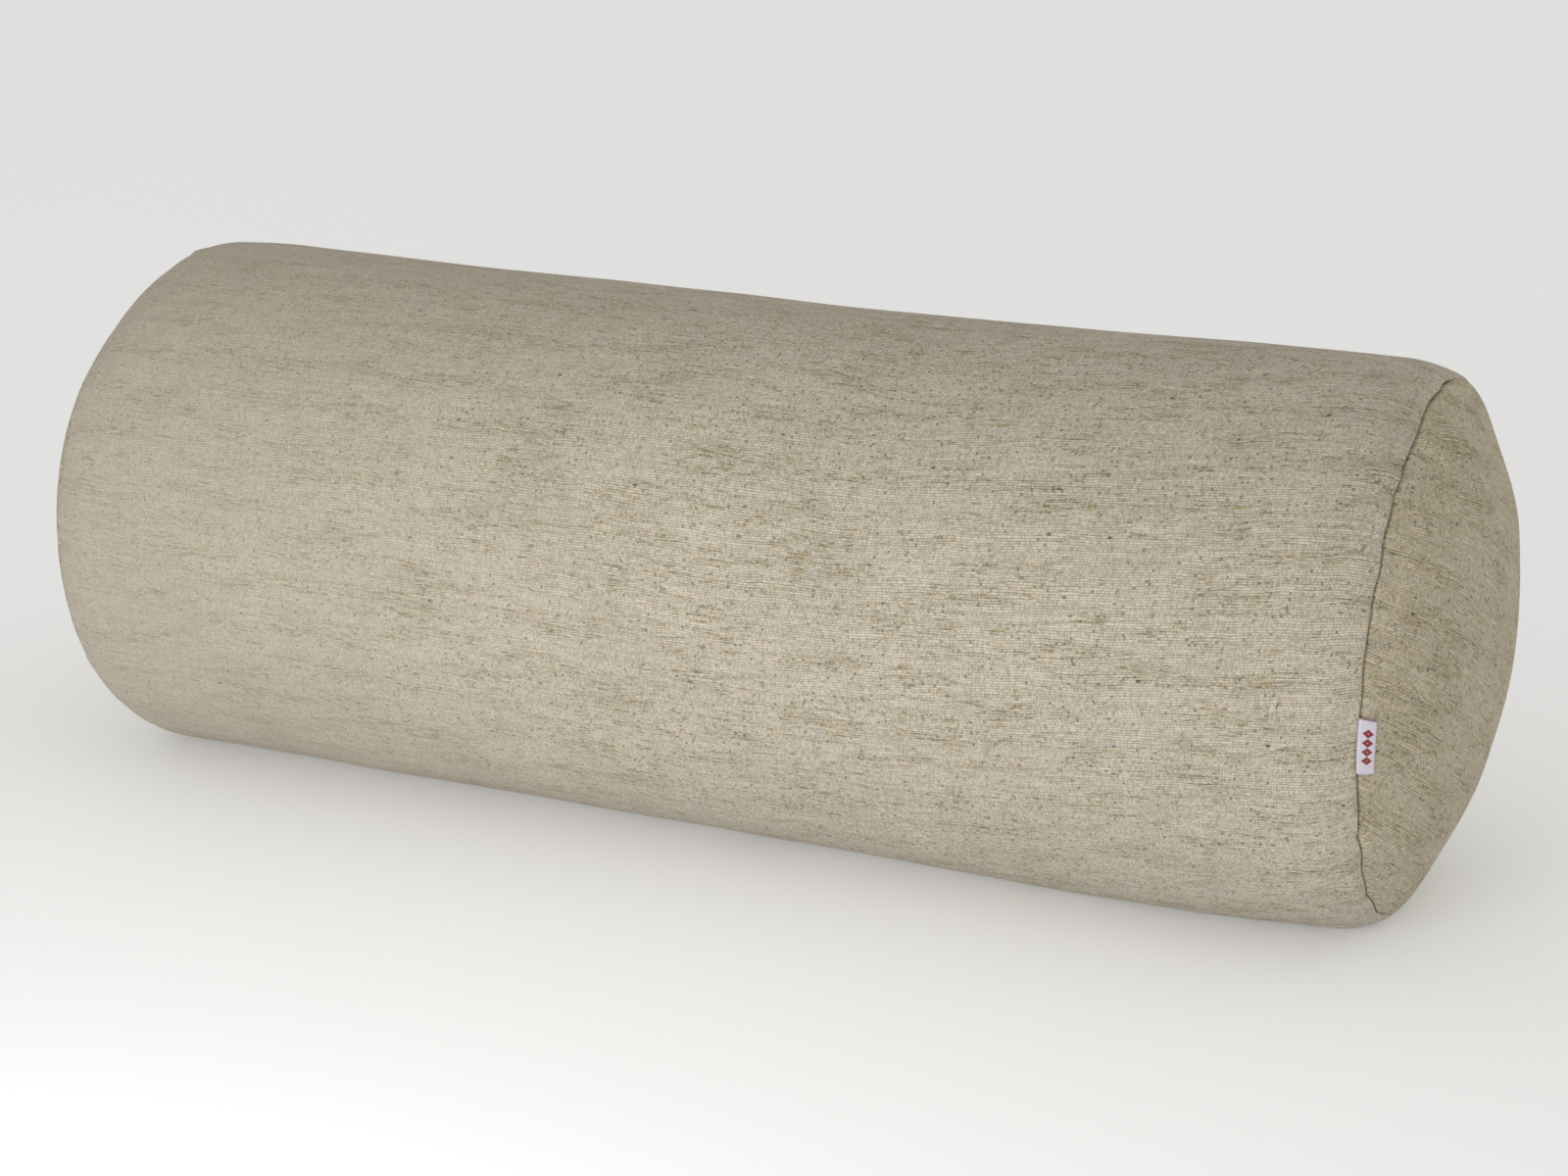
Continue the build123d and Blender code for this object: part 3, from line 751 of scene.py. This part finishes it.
def satin_nickel():
    """Tumbled nickel plate: soft highlights, fine scratches and a little dull wear."""
    shader = Shader("satin_nickel", Metallic=1.0)
    place = shader.place()
    x, y = shader.split(place)
    scratches = shader.noise(shader.combine(x * 0.3, y * 6.0), 3.0, 3.0)
    wear = shader.noise(place, 0.4, 3.0)
    shader.fill(shader.bsdf, Roughness=shader.ramp(wear, 0.3, 0.7, 0.24, 0.42))
    colour = shader.mix(shader.ramp(wear, 0.4, 0.75), srgb(204, 201, 194), srgb(194, 191, 184))
    return shader.finish(colour, scratches, 0.015 * MM, 0.5)


# The seam label's ribbon, in mm of its cloth coordinates
LABEL_WHITE = srgb(205, 200, 213)
LABEL_SHADOW = srgb(190, 186, 196)
LABEL_RED = srgb(132, 22, 32)
LABEL_MIDDLE = 222.0
LABEL_TOP_EDGE = -6.75
MOTIF_PITCH = 2.4
MOTIF_ACROSS = 2.6
MOTIF_HALF_HEIGHT = 1.65


def satin_label():
    """White satin ribbon with four plain woven-in red lozenges, and red thread along its top edge."""
    shader = Shader("seam_label_satin", Roughness=0.5, Sheen_Weight=0.2)
    along, across = shader.cloth()
    from_middle = along - LABEL_MIDDLE
    step = shader.math("FRACT", from_middle / MOTIF_PITCH)
    off = abs(step - 0.5) * 2.0 + abs(across - MOTIF_ACROSS) / MOTIF_HALF_HEIGHT
    lozenge = shader.ramp(off, 1.04, 0.94) * shader.ramp(off, 0.08, 0.16)
    within = shader.ramp(abs(from_middle), 2.05 * MOTIF_PITCH, 1.98 * MOTIF_PITCH)
    edge = shader.ramp(from_middle, LABEL_TOP_EDGE, LABEL_TOP_EDGE - 0.3, 0.0, 0.75)
    red = shader.math("MAXIMUM", lozenge * within, edge)
    rib = shader.ribs(along, 0.22)
    fibre = shader.noise(shader.combine(along, across * 0.3), 3.0, 2.0)
    colour = shader.shade(LABEL_WHITE, fibre, 0.95, 1.03)
    colour = shader.mix(shader.ramp(rib, 0.5, 0.0, 0.0, 0.16), colour, LABEL_SHADOW)
    return shader.finish(shader.mix(red, colour, LABEL_RED), rib, 0.02 * MM, 0.5)


def printed_ribbon():
    """The care label inside: satin with plain rows of short woven dashes that say nothing."""
    shader = Shader("care_ribbon", Roughness=0.5)
    x, y = shader.split(shader.place())
    row = x / 3.0
    dash = shader.noise(shader.combine(shader.math("FLOOR", row), y), 0.9, 0.0)
    ink = shader.ramp(shader.math("FRACT", row), 0.3, 0.25) * shader.ramp(dash, 0.48, 0.52)
    satin = shader.noise(shader.combine(x, y * 8.0), 2.0, 2.0)
    colour = shader.mix(ink, LABEL_WHITE, srgb(120, 118, 124))
    return shader.finish(shader.shade(colour, satin, 0.95, 1.03), satin, 0.02 * MM)


def polyester_fibre():
    """Loose white fibre: matt, with soft clumps and hairs."""
    shader = Shader("polyester_fibre", Roughness=1.0, Sheen_Weight=0.3)
    place = shader.place()
    clump = shader.noise(place, 0.12, 4.0, 0.6)
    hair = shader.noise(place, 1.4, 4.0, 0.7)
    colour = shader.shade(srgb(240, 239, 236), clump, 0.9, 1.03)
    return shader.finish(shader.shade(colour, hair, 0.93, 1.03), clump * 3.0 + hair, 0.8 * MM, 0.8)


# The second colour of each thread is its painted shade between the plies
THREAD = spun_thread("cover_thread", srgb(188, 177, 158), srgb(138, 127, 106))
OVERLOCK = spun_thread("overlock_thread", srgb(226, 221, 210), srgb(176, 170, 156))
INNER_THREAD = spun_thread("inner_thread", srgb(240, 240, 238), srgb(196, 196, 194))
LINEN_CLOTH = linen("linen", yellowness=0.16, share=0.0, rubbed=0.5)
# The end panels are the same linen as the tube; their yellower, darker tint is painted shade
SHADED_END_LINEN = linen("linen_ends", yellowness=0.36, share=0.01, rubbed=0.0)
CASING = cotton_casing()
TAPE_CLOTH = herringbone_tape()
COIL_NYLON = nylon_coil()
NICKEL = satin_nickel()
SEAM_LABEL = satin_label()
CARE_LABEL = printed_ribbon()
FIBRE = polyester_fibre()

# ---- the cover

ROW_STEP = 3.5 * MM
FINE_ROW_STEP = 1.25 * MM
DISC_FINE_STEP = 0.8 * MM
DISC_STEP = 2.4 * MM
FINE_REACH = 28 * MM
COLUMN_STEP = 1.68 * MM
DISC_COLUMNS = 264

# How the cloth rolls in, in mm across and in height: at the closed seam's slit, and at the zip's slot
SLIT_EDGE = [0.01, 0.25, 0.7, 1.4]
SLIT_HEIGHT = [-0.5, -0.26, -0.06, 0.0]
SLOT_EDGE = [4.5, 4.7, 5.1, 5.8]
EDGE_HEIGHT = [-1.2, -0.5, -0.12, 0.0]
ZIP_COLUMNS = [0.01, 0.25, 0.7, 1.4, 2.4, 3.5, 4.5, 4.7, 5.1, 5.8, 6.6, 7.1, 7.5, 7.9, 8.5, 9.6]

SLOT_END_EASE = 0.8 * MM
NEEDLE_DENT = 0.15 * MM

# Where the cloth turns in at a round seam: (mm past the seam, mm of height), the tube's and the end panel's
TUBE_FOLD = [(-0.35, -0.06), (-0.05, -0.3), (0, -0.65), (-0.05, -1.0), (-0.6, -1.3), (-5, -1.3), (-10, -1.3)]
DISC_FOLD = [
    (1.9, 0), (1.2, -0.1), (0.75, -0.38), (0.5, -0.85), (0.2, -1.3), (-0.4, -1.4), (-5, -1.4), (-9.9, -1.4),
]
TUBE_SKEW = 0.11
TUBE_SKEW_FROM = 60 * MM
SLIGHT = 1e-6


def fold_rows(outline):
    """Surface lengths and heights, in metres, of rows given as (mm past the seam, mm of height)."""
    past, height = np.array(outline).T * MM
    return SEAM_S + past, height


def turned_in(s, outline):
    """A tube's rows with the turned-in ones added at both ends: their surface lengths and heights."""
    fold_s, fold_height = fold_rows(outline)
    height = np.concatenate([fold_height[::-1], np.zeros(len(s)), fold_height])
    return np.concatenate([-fold_s[::-1], s, fold_s]), height


def tube_rows():
    """Surface lengths and heights of the tube's rows, from the turned-in edge at one end to the other's."""
    fine = SEAM_S - np.arange(1 * MM, FINE_REACH, FINE_ROW_STEP)
    reach = fine.min() - FINE_ROW_STEP
    middle = np.linspace(-reach, reach, round(2 * reach / ROW_STEP) + 1)
    ease = np.array([-1, -0.5, 0]) * SLOT_END_EASE
    ends = np.concatenate([SLOT_LOW_X + ease, SLOT_HIGH_X - ease])
    middle = middle[np.abs(middle[:, None] - ends[None, :]).min(axis=1) > 0.9 * MM]
    return turned_in(np.sort(np.concatenate([middle, ends, fine, -fine])), TUBE_FOLD)


def tube_columns():
    """Distances round the tube from the zip's middle line, from just above it to just below it."""
    near = np.array(ZIP_COLUMNS) * MM
    far = 2 * pi * RADIUS - near[::-1]
    between = np.linspace(near[-1], far[0], round((far[0] - near[-1]) / COLUMN_STEP) + 1)[1:-1]
    return np.concatenate([near, between, far])


def zip_dent(s, across):
    """The cloth rolls in at the slot's edges and at the closed seam past its ends, and stitches dent it."""
    beside = np.abs(across) / MM
    slot = np.interp(beside, SLOT_EDGE, EDGE_HEIGHT)
    slit = np.interp(beside, SLIT_EDGE, SLIT_HEIGHT)
    in_slot = smooth(s, SLOT_LOW_X - SLOT_END_EASE, SLOT_LOW_X)
    in_slot = in_slot * (1 - smooth(s, SLOT_HIGH_X, SLOT_HIGH_X + SLOT_END_EASE))
    stitched = NEEDLE_DENT * np.exp(-(((np.abs(across) - TOPSTITCH_ACROSS) / (0.45 * MM)) ** 2))
    return (slot * in_slot + slit * (1 - in_slot)) * MM - stitched * in_slot


def tube_weave(s, angle):
    """Cloth coordinates on the tube: the yarns run along it, drifting a little, more near the right end."""
    drift = sample(UNDULATION, s, angle % (2 * pi)) * 0.5
    skew = TUBE_SKEW * np.clip(s - TUBE_SKEW_FROM, 0, None) / MM
    return spread(s / MM + drift, angle * RADIUS / MM + skew + drift, 0.0)


def cover_tube():
    """The tube of cloth, turned in at both ends, with the zip's slot left out."""
    s, height = tube_rows()
    across = tube_columns()
    angle = (ZIP_ANGLE + across / RADIUS)[None, :]
    s = s[:, None]
    signed = (across + pi * RADIUS) % (2 * pi * RADIUS) - pi * RADIUS
    dent = zip_dent(s, signed[None, :])
    points = cover_points(s, angle, height[:, None] + dent)
    in_slot_row = (s[:-1, 0] > SLOT_LOW_X - SLIGHT) & (s[1:, 0] < SLOT_HIGH_X + SLIGHT)
    near = np.abs(signed) < SLOT_HALF_WIDTH + SLIGHT
    dropped = in_slot_row[:, None] & (near[:-1] & near[1:])[None, :]
    piece = thicken(grid_piece("cover_tube", points, tube_weave(s, angle), dropped=dropped), CLOTH)
    finish_piece(piece, LINEN_CLOTH, ["cover_tube_panel"])


def drawn_tight(angle, past):
    """How far past the seam a disc's rows are: its rolled edge is drawn in low down and at the top."""
    low = smooth(angle, radians(196), radians(214)) * (1 - smooth(angle, radians(262), radians(280)))
    high = smooth(angle, radians(36), radians(44)) * (1 - smooth(angle, radians(80), radians(86)))
    return past * (1 - (0.7 * low + 0.9 * high) * (past > 0) * (past < 1.5 * MM))


def disc(name, side, radii_from_pole, folded, place, turn):
    """A round end of cloth from its pole to its turned-in edge. turn is its yarns' slant in degrees."""
    fold_s, fold_height = fold_rows(folded)
    s = np.concatenate([fold_s[::-1], POLE_S - radii_from_pole[::-1]])
    height = np.concatenate([fold_height[::-1], np.zeros(len(radii_from_pole))])
    if side < 0:
        s, height = -s[::-1], height[::-1]
    angle = once_round(DISC_COLUMNS)[None, :]
    past = drawn_tight(angle, np.abs(s)[:, None] - SEAM_S)
    points = place(side * (SEAM_S + past), angle, height[:, None])
    pole = place(np.array([[side * POLE_S]]), angle[:, :1], np.zeros((1, 1)))[0, 0]
    reach = (POLE_S - np.abs(s))[:, None] / MM
    slanted = angle + radians(turn)
    flat = spread(reach * np.cos(slanted), reach * np.sin(slanted), 0.0)
    faces = grid_faces(len(s), DISC_COLUMNS, wrap=True)
    pole_index = len(s) * DISC_COLUMNS
    rim = (len(s) - 1) * DISC_COLUMNS if side > 0 else 0
    for i in range(DISC_COLUMNS):
        edge = [rim + i, rim + (i + 1) % DISC_COLUMNS]
        faces.append([pole_index, *(edge if side > 0 else reversed(edge))])
    verts = np.concatenate([points.reshape(-1, 3), pole[None]])
    return new_piece(name, verts, faces, np.concatenate([flat.reshape(-1, 3), np.zeros((1, 3))]))


def disc_radii(edge):
    """Distances from the pole of a disc's rows, coarse in the middle and fine near its edge."""
    reach = POLE_S - SEAM_S - edge
    fine_from = reach - FINE_REACH
    coarse = np.linspace(DISC_STEP / 2, fine_from, round(fine_from / DISC_STEP) + 1)
    fine = np.arange(fine_from + DISC_FINE_STEP, reach - DISC_FINE_STEP / 2, DISC_FINE_STEP)
    return np.concatenate([coarse, fine])


def cover_ends():
    """Both end panels. The right one's yarns slant as the photo shows."""
    radii = disc_radii(DISC_FOLD[0][0] * MM)
    for side, name, turn in ((1, "right", 30), (-1, "left", 8)):
        piece = thicken(disc("cover_end_" + name, side, radii, DISC_FOLD, cover_points, turn), CLOTH)
        finish_piece(piece, SHADED_END_LINEN, ["cover_end_panel_" + name])


# The overlocked thread round both raw edges, and the seam's stitches: (mm past the seam, mm of height)
OVERLOCK_OUTLINE = [(-10.35, -0.75), (-9.6, -0.55), (-7.2, -0.58), (-6.8, -0.75), (-7.2, -0.95),
                    (-9.4, -1.0), (-9.6, -1.35), (-9.4, -1.85), (-7.2, -1.95), (-6.8, -2.1),
                    (-7.2, -2.28), (-9.6, -2.25), (-10.35, -2.05), (-10.5, -1.4)]
RING_COLUMNS = 720


def sewn_ring(name, side, outline, ripple, material, node):
    """Thread worked right round an end: an outline swept round the seam, rippled stitch by stitch."""
    corners = np.array(outline)
    middle = corners.mean(axis=0)
    angle = once_round(RING_COLUMNS)[:, None]
    swell = 1 + ripple * np.sin(angle * RING_COLUMNS / 4)
    past = middle[0] + (corners[None, :, 0] - middle[0]) * (1 + (swell - 1) * 0.3)
    height = middle[1] + (corners[None, :, 1] - middle[1]) * swell
    points = cover_points(side * (SEAM_S + past * MM), angle, height * MM)
    index = np.arange(RING_COLUMNS * len(outline)).reshape(RING_COLUMNS, len(outline))
    after, along = np.roll(index, -1, axis=0), np.roll(index, -1, axis=1)
    quads = np.stack([index, after, np.roll(after, -1, axis=1), along], axis=-1).reshape(-1, 4)
    if side > 0:
        quads = quads[:, ::-1]
    piece = new_piece(name, points.reshape(-1, 3), quads.tolist())
    finish_piece(piece, material, [node])


def sewing_round_the_ends():
    """The overlocked edge and the seam's own thread, inside both round seams."""
    stitches = [(-0.9 + 0.22 * cos(t), -1.35 + 0.62 * sin(t)) for t in np.arange(8) * pi / 4]
    for side, name in ((1, "right"), (-1, "left")):
        node = "end_seam_overlock_" + name
        sewn_ring("overlock_ring_" + name, side, OVERLOCK_OUTLINE, 0.06, OVERLOCK, node)
        node = "end_seam_thread_" + name
        sewn_ring("stitch_ring_" + name, side, stitches, 0.25, THREAD, node)


# ---- the zip's fixed parts, and its stitches

# The coil's filament, in mm, with heights from the cover's surface
COIL_RADIUS = 0.30
COIL_MIDDLE = 0.75
COIL_REACH = 1.45
COIL_HEIGHT = -0.74
COIL_LIFT = 0.36
COIL_STEPS = 12

# A point by the bottom stop, about which the two halves would lean apart as the slider runs down; nothing
# leans them
OPEN_ANCHOR_X = -157 * MM

TAPE_END_X = 165 * MM
STOP_RINGS = 9
STOP_SIDES = 24
STITCH_PITCH = 3.0 * MM
STITCH_LENGTH = 2.5 * MM
BARTACK_TURNS = 26


def zip_point(x, across, height):
    """Points by the zip: x along the pillow, across its middle line, and above the cover's plain surface."""
    return surface(x, ZIP_ANGLE + across / RADIUS, height)


def part_when_open(piece):
    """Gives the piece its own copy of its mesh. It works out the point by the bottom stop but doesn't lean
    the halves apart.
    """
    anchor = zip_point(OPEN_ANCHOR_X, 0.0, COIL_HEIGHT * MM)
    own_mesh(piece)


def coil(name, side):
    """One half of the zip: a filament wound through the tape's edge, half a pitch off the other."""
    low, high = ZIP_LOW.x + TOOTH_PITCH, ZIP_HIGH.x - TOOTH_PITCH
    turns = (high - low) / TOOTH_PITCH
    t = np.linspace(0, 2 * pi * turns, int(turns * COIL_STEPS))
    x = low + (t / (2 * pi) + (0.25 if side > 0 else -0.25)) * TOOTH_PITCH
    across = side * (COIL_MIDDLE - COIL_REACH * np.cos(t)) * MM
    height = (COIL_HEIGHT + COIL_LIFT * np.sin(t)) * MM
    verts, faces = tube(zip_point(x, across, height), COIL_RADIUS * MM)
    piece = new_piece("zip_coil_" + name, verts, faces)
    finish_piece(piece, COIL_NYLON, ["zip_teeth_" + name])
    part_when_open(piece)


def tape(name, side):
    """One half of the zip's tape, from beside the teeth to its hidden edge."""
    x = np.linspace(-TAPE_END_X, TAPE_END_X, 96)
    across = np.linspace(TAPE_NEAR, TAPE_FAR, 15) * side
    if side < 0:
        across = across[::-1]
    points = zip_point(x[:, None], across[None, :], TAPE_HEIGHT)
    weave = spread(x[:, None] / MM, across[None, :] / MM, 0.0)
    piece = thicken(grid_piece("zip_tape_strip_" + name, points, weave), TAPE_THICKNESS)
    finish_piece(piece, TAPE_CLOTH, ["zip_tape_" + name])
    part_when_open(piece)


def top_stop(name, side):
    """A crimped stop at the closed end of each half: a rounded staple over the tape's edge."""
    low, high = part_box("zip_top_stops")
    turn = np.linspace(0, 2 * pi, STOP_SIDES, endpoint=False)
    rings = []
    for share in np.linspace(-1, 1, STOP_RINGS):
        pinch = (1 - abs(share) ** 4) ** 0.5 * 0.35 + 0.65
        across = side * (1.15 + 0.8 * pinch * np.sign(np.cos(turn)) * np.abs(np.cos(turn)) ** 0.6)
        height = -0.95 + 0.72 * pinch * np.sign(np.sin(turn)) * np.abs(np.sin(turn)) ** 0.6
        x = (low.x + high.x) / 2 + share * (high.x - low.x) / 2
        rings.append(zip_point(np.full(STOP_SIDES, x), across * MM, height * MM))
    verts = np.concatenate(rings)
    faces = closed_tube(STOP_RINGS, STOP_SIDES)
    if side < 0:
        faces = [face[::-1] for face in faces]
    piece = new_piece("zip_stop_" + name, verts, faces)
    finish_piece(piece, NICKEL, ["zip_top_stops"])
    part_when_open(piece)


def stitch_row(name, side):
    """A row of topstitching: each stitch a short thread that dips into the cloth at both ends."""
    first, last = SLOT_LOW_X - 1 * MM, SLOT_HIGH_X + 1 * MM
    rng = np.random.default_rng(21 if side > 0 else 22)
    parts = []
    for centre in np.arange(first, last, STITCH_PITCH):
        t = np.linspace(-1, 1, 9)
        x = centre + t * STITCH_LENGTH / 2
        across = side * TOPSTITCH_ACROSS + rng.normal(0, 0.06 * MM) + t * rng.normal(0, 0.05 * MM)
        height = 0.12 * MM - 0.42 * MM * np.abs(t) ** 3
        parts.append(tube(zip_point(x, across, height), 0.2 * MM, sides=8))
    verts, faces = join(parts)
    piece = new_piece("topstitch_" + name, verts, faces)
    finish_piece(piece, THREAD, ["zip_topstitch_" + name])


def bartacks():
    """A dense zigzag of thread across the slot at each end."""
    parts = []
    for middle in (SLOT_LOW_X - BARTACK_WIDTH / 2, SLOT_HIGH_X + BARTACK_WIDTH / 2):
        t = np.linspace(0, BARTACK_TURNS, BARTACK_TURNS * 8 + 1)
        x = middle + (BARTACK_WIDTH / 2 - 0.2 * MM) * np.sin(t * pi + pi / 2)
        across = (t / BARTACK_TURNS * 2 - 1) * BARTACK_HALF_LENGTH
        height = 0.16 * MM + 0.08 * MM * np.cos(2 * pi * t)
        parts.append(tube(zip_point(x, across, height), 0.22 * MM))
    verts, faces = join(parts)
    piece = new_piece("zip_bartacks", verts, faces)
    finish_piece(piece, THREAD, ["zip_end_bartacks"])


# ---- the folded label in the right seam

# The folded ribbon's outline: (mm past the seam, mm above the cloth), out over the fold and back in
LABEL_OUTLINE = [
    (-0.15, -2.0), (-0.1, 0.35), (0.6, 0.62), (2.2, 0.66), (4.2, 0.60), (4.62, 0.48), (4.75, 0.30),
    (4.6, 0.14), (4.2, 0.08), (2.2, 0.10), (0.5, 0.10), (0.2, -0.1), (0.15, -2.0),
]
LABEL_ANGLES = (176.0, 188.0)
LABEL_SHEAR = 1.05
LABEL_STEPS = 30
LABEL_MM_PER_DEGREE = 1.22


def label_outline(per_span=4):
    """The outline above, with its corners rounded."""
    corners = np.array(LABEL_OUTLINE)
    t = np.arange((len(corners) - 1) * per_span + 1) / per_span
    span = np.minimum(np.floor(t).astype(int), len(corners) - 2)
    weights = catmull_rom(t - span)
    neighbours = np.clip(span[:, None] + np.arange(-1, 3), 0, len(corners) - 1)
    return (weights[..., None] * corners[neighbours]).sum(axis=1)


def seam_label():
    """The ribbon, slightly curled at its free corner, with cloth coordinates that start at the fold."""
    outline = label_outline()
    angle = np.radians(np.linspace(*LABEL_ANGLES, LABEL_STEPS))
    share = np.linspace(0, 1, LABEL_STEPS)[:, None]
    past, height = outline[None, :, 0], outline[None, :, 1]
    free = smooth(past, 0.5, 4.5)
    past = past + free * (0.12 * np.sin(share * 5.0) - 0.25 * (share - 0.5) ** 2)
    curl = 0.22 * (1 - smooth(share, 0.0, 0.35)) + 0.08 * np.sin(share * 9.0) ** 2
    lifted = height + free * np.where(height > -0.05, curl, 0)
    sheared = angle[:, None] + radians(LABEL_SHEAR) * np.clip(past / 4.75, 0, 1)
    points = cover_points(SEAM_S + past * MM, sheared, lifted * MM)
    run = np.concatenate([[0], np.cumsum(np.hypot(*np.diff(outline, axis=0).T))])
    to_fold = run[np.argmax(outline[:, 0])]
    across = np.abs(to_fold - run)
    weave = spread(np.degrees(angle[:, None]) * LABEL_MM_PER_DEGREE, across[None, :], 0.0)
    faces = closed_tube(LABEL_STEPS, len(outline))
    piece = new_piece("seam_label_ribbon", points.reshape(-1, 3), faces, weave.reshape(-1, 3))
    finish_piece(piece, SEAM_LABEL, ["seam_label"])


# ---- the inner pillow and its filling

INNER_INSET = 2.5 * MM
FILLING_INSET = 3.9 * MM
ZIP_RELIEF = 1.05 * MM
CASING_THICKNESS = 0.5 * MM
INNER_ROWS = 96
INNER_COLUMNS = 160
FILLING_ROWS = 100
FILLING_COLUMNS = 120
INNER_TUBE_FOLD = [(-0.3, -0.08), (-0.05, -0.3), (-0.03, -0.9)]
INNER_DISC_FOLD = [(0.9, 0), (0.3, -0.08), (0.05, -0.3), (0.03, -0.9)]


def inset_points(inset):
    """Points inset from the barrel, a little deeper behind the zip, and flat on the cover's floor side."""
    def place(s, angle, height):
        behind_zip = ZIP_RELIEF * (1 - smooth(np.abs(across_zip(angle)), 13 * MM, 24 * MM))
        behind_zip = behind_zip * (1 - smooth(np.abs(s), 165 * MM, 180 * MM))
        slack = np.minimum(lie(s, angle), 0)
        return settle(surface(s, angle, height + slack - inset - behind_zip), floor=inset)
    return place


def inner_pillow():
    """The inner pillow's casing: a tube and two ends, closed, a little inside the cover."""
    place = inset_points(INNER_INSET)
    s, height = turned_in(np.linspace(-SEAM_S + 1 * MM, SEAM_S - 1 * MM, INNER_ROWS), INNER_TUBE_FOLD)
    s, angle = s[:, None], once_round(INNER_COLUMNS)[None, :]
    piece = grid_piece("inner_tube", place(s, angle, height[:, None]), tube_weave(s, angle), wrap=True)
    thicken(piece, CASING_THICKNESS)
    finish_piece(piece, CASING, ["inner_tube_panel"])
    for side, name in ((1, "right"), (-1, "left")):
        radii = np.linspace(1.5 * MM, POLE_S - SEAM_S - 1.5 * MM, 30)
        piece = thicken(disc("inner_end_" + name, side, radii, INNER_DISC_FOLD, place, 0), CASING_THICKNESS)
        finish_piece(piece, CASING, ["inner_end_panel_" + name])


def filling():
    """The fibre fill, as one plump closed form just inside the casing."""
    place = inset_points(FILLING_INSET)
    s = np.linspace(-POLE_S, POLE_S, FILLING_ROWS)[:, None]
    angle = once_round(FILLING_COLUMNS)[None, :]
    points = place(s, angle, -np.abs(sample(RUMPLE, s, angle)) * 0.25 * MM)
    verts = [points[0].mean(axis=0), *points[1:-1].reshape(-1, 3), points[-1].mean(axis=0)]
    piece = new_piece("filling", verts, closed_grid(FILLING_ROWS - 2, FILLING_COLUMNS))
    finish_piece(piece, FIBRE, ["fibre_filling"])


cover_tube()
cover_ends()
sewing_round_the_ends()
for half, direction in (("upper", 1), ("lower", -1)):
    coil(half, direction)
    tape(half, direction)
    top_stop(half, direction)
    stitch_row(half, direction)
bartacks()
seam_label()
inner_pillow()
filling()

# ---- the CAD nodes that stay

NODE_MATERIALS = {
    "long_seam_thread": THREAD,
    "inner_seam_thread_right": INNER_THREAD,
    "inner_seam_thread_left": INNER_THREAD,
    "inner_closing_thread": INNER_THREAD,
    "care_label": CARE_LABEL,
    "zip_bottom_stop": NICKEL,
    "zip_slider_body": NICKEL,
    "zip_pull_tab": NICKEL,
}
for node, node_material in NODE_MATERIALS.items():
    cad_object = bpy.data.objects[node]
    cad_object.data.materials.clear()
    cad_object.data.materials.append(node_material)
for node in ("zip_slider_body", "zip_pull_tab", "zip_bottom_stop"):
    bevel = bpy.data.objects[node].modifiers.new("soft_edges", "BEVEL")
    bevel.width = 0.12 * MM
    bevel.segments = 2
    bevel.limit_method = "ANGLE"

# ---- floor, light and camera

FLOOR_SIZE = 14.0
FLOOR_STEPS = 24


def pale_floor():
    """A pale matt floor with the faintest unevenness."""
    steps = np.linspace(-FLOOR_SIZE / 2, FLOOR_SIZE / 2, FLOOR_STEPS)
    verts = spread(steps[:, None], steps[None, :], 0.0).reshape(-1, 3)
    faces = [face[::-1] for face in grid_faces(FLOOR_STEPS, FLOOR_STEPS)]
    floor = new_piece("studio_floor", verts, faces)
    shader = Shader("floor_paper", Roughness=0.9, Emission_Color=(1, 1, 1, 1), Emission_Strength=0.15)
    grain = shader.noise(shader.place(), 0.8, 3.0)
    colour = shader.shade(srgb(241, 243, 247), grain, 0.995, 1.005)
    floor.data.materials.append(shader.finish(colour, grain, 0.02 * MM, 0.2))


def aim(thing, azimuth, elevation, distance, target):
    """Puts a light or camera round the target, facing it. Azimuth 0 is in front and grows rightwards."""
    a, e = radians(azimuth), radians(elevation)
    back = Vector((sin(a) * cos(e), -cos(a) * cos(e), sin(e)))
    thing.location = target + back * distance
    thing.rotation_euler = (-back).to_track_quat("-Z", "Y").to_euler()
    return back


def area_light(name, azimuth, elevation, distance, size, power, colour):
    """A round lamp that faces the pillow's middle."""
    light = bpy.data.lights.new(name, "AREA")
    light.shape = "DISK"
    light.size = size
    light.energy = power
    light.color = colour
    lamp = bpy.data.objects.new(name, light)
    bpy.context.scene.collection.objects.link(lamp)
    aim(lamp, azimuth, elevation, distance, CENTRE)


CENTRE = Vector((0, 0, AXIS_Z))
pale_floor()
area_light("left_window", -35, 10, 2.2, 1.2, 3.2, (0.72, 0.88, 1.0))
area_light("front_key", 0, 7, 0.52, 0.25, 0.92, (1.0, 0.985, 0.96))
area_light("right_fill", 88, 5, 2.2, 1.2, 5.6, (1.0, 0.97, 0.92))
world = bpy.data.worlds.new("studio")
world.use_nodes = True
background = world.node_tree.nodes["Background"]
background.inputs["Color"].default_value = (1.0, 0.975, 0.92, 1.0)
background.inputs["Strength"].default_value = 0.66
bpy.context.scene.world = world
bpy.context.scene.view_settings.view_transform = "Standard"

CAMERA_AZIMUTH = 23.41
CAMERA_ELEVATION = 18.34
CAMERA_DISTANCE = 0.9484
CAMERA_RIGHT = 5.86 * MM
CAMERA_UP = -7.74 * MM
LENS = 77.46
SENSOR_WIDTH = 36
camera_data = bpy.data.cameras.new("camera")
camera_data.lens = LENS
camera_data.sensor_width = SENSOR_WIDTH
camera_data.clip_start = 0.01
camera_data.clip_end = 100
camera = bpy.data.objects.new("camera", camera_data)
bpy.context.scene.collection.objects.link(camera)
camera_back = aim(camera, CAMERA_AZIMUTH, CAMERA_ELEVATION, CAMERA_DISTANCE, CENTRE)
camera_right = Vector((0, 0, 1)).cross(camera_back).normalized()
camera.location += camera_right * CAMERA_RIGHT + camera_back.cross(camera_right) * CAMERA_UP
bpy.context.scene.camera = camera
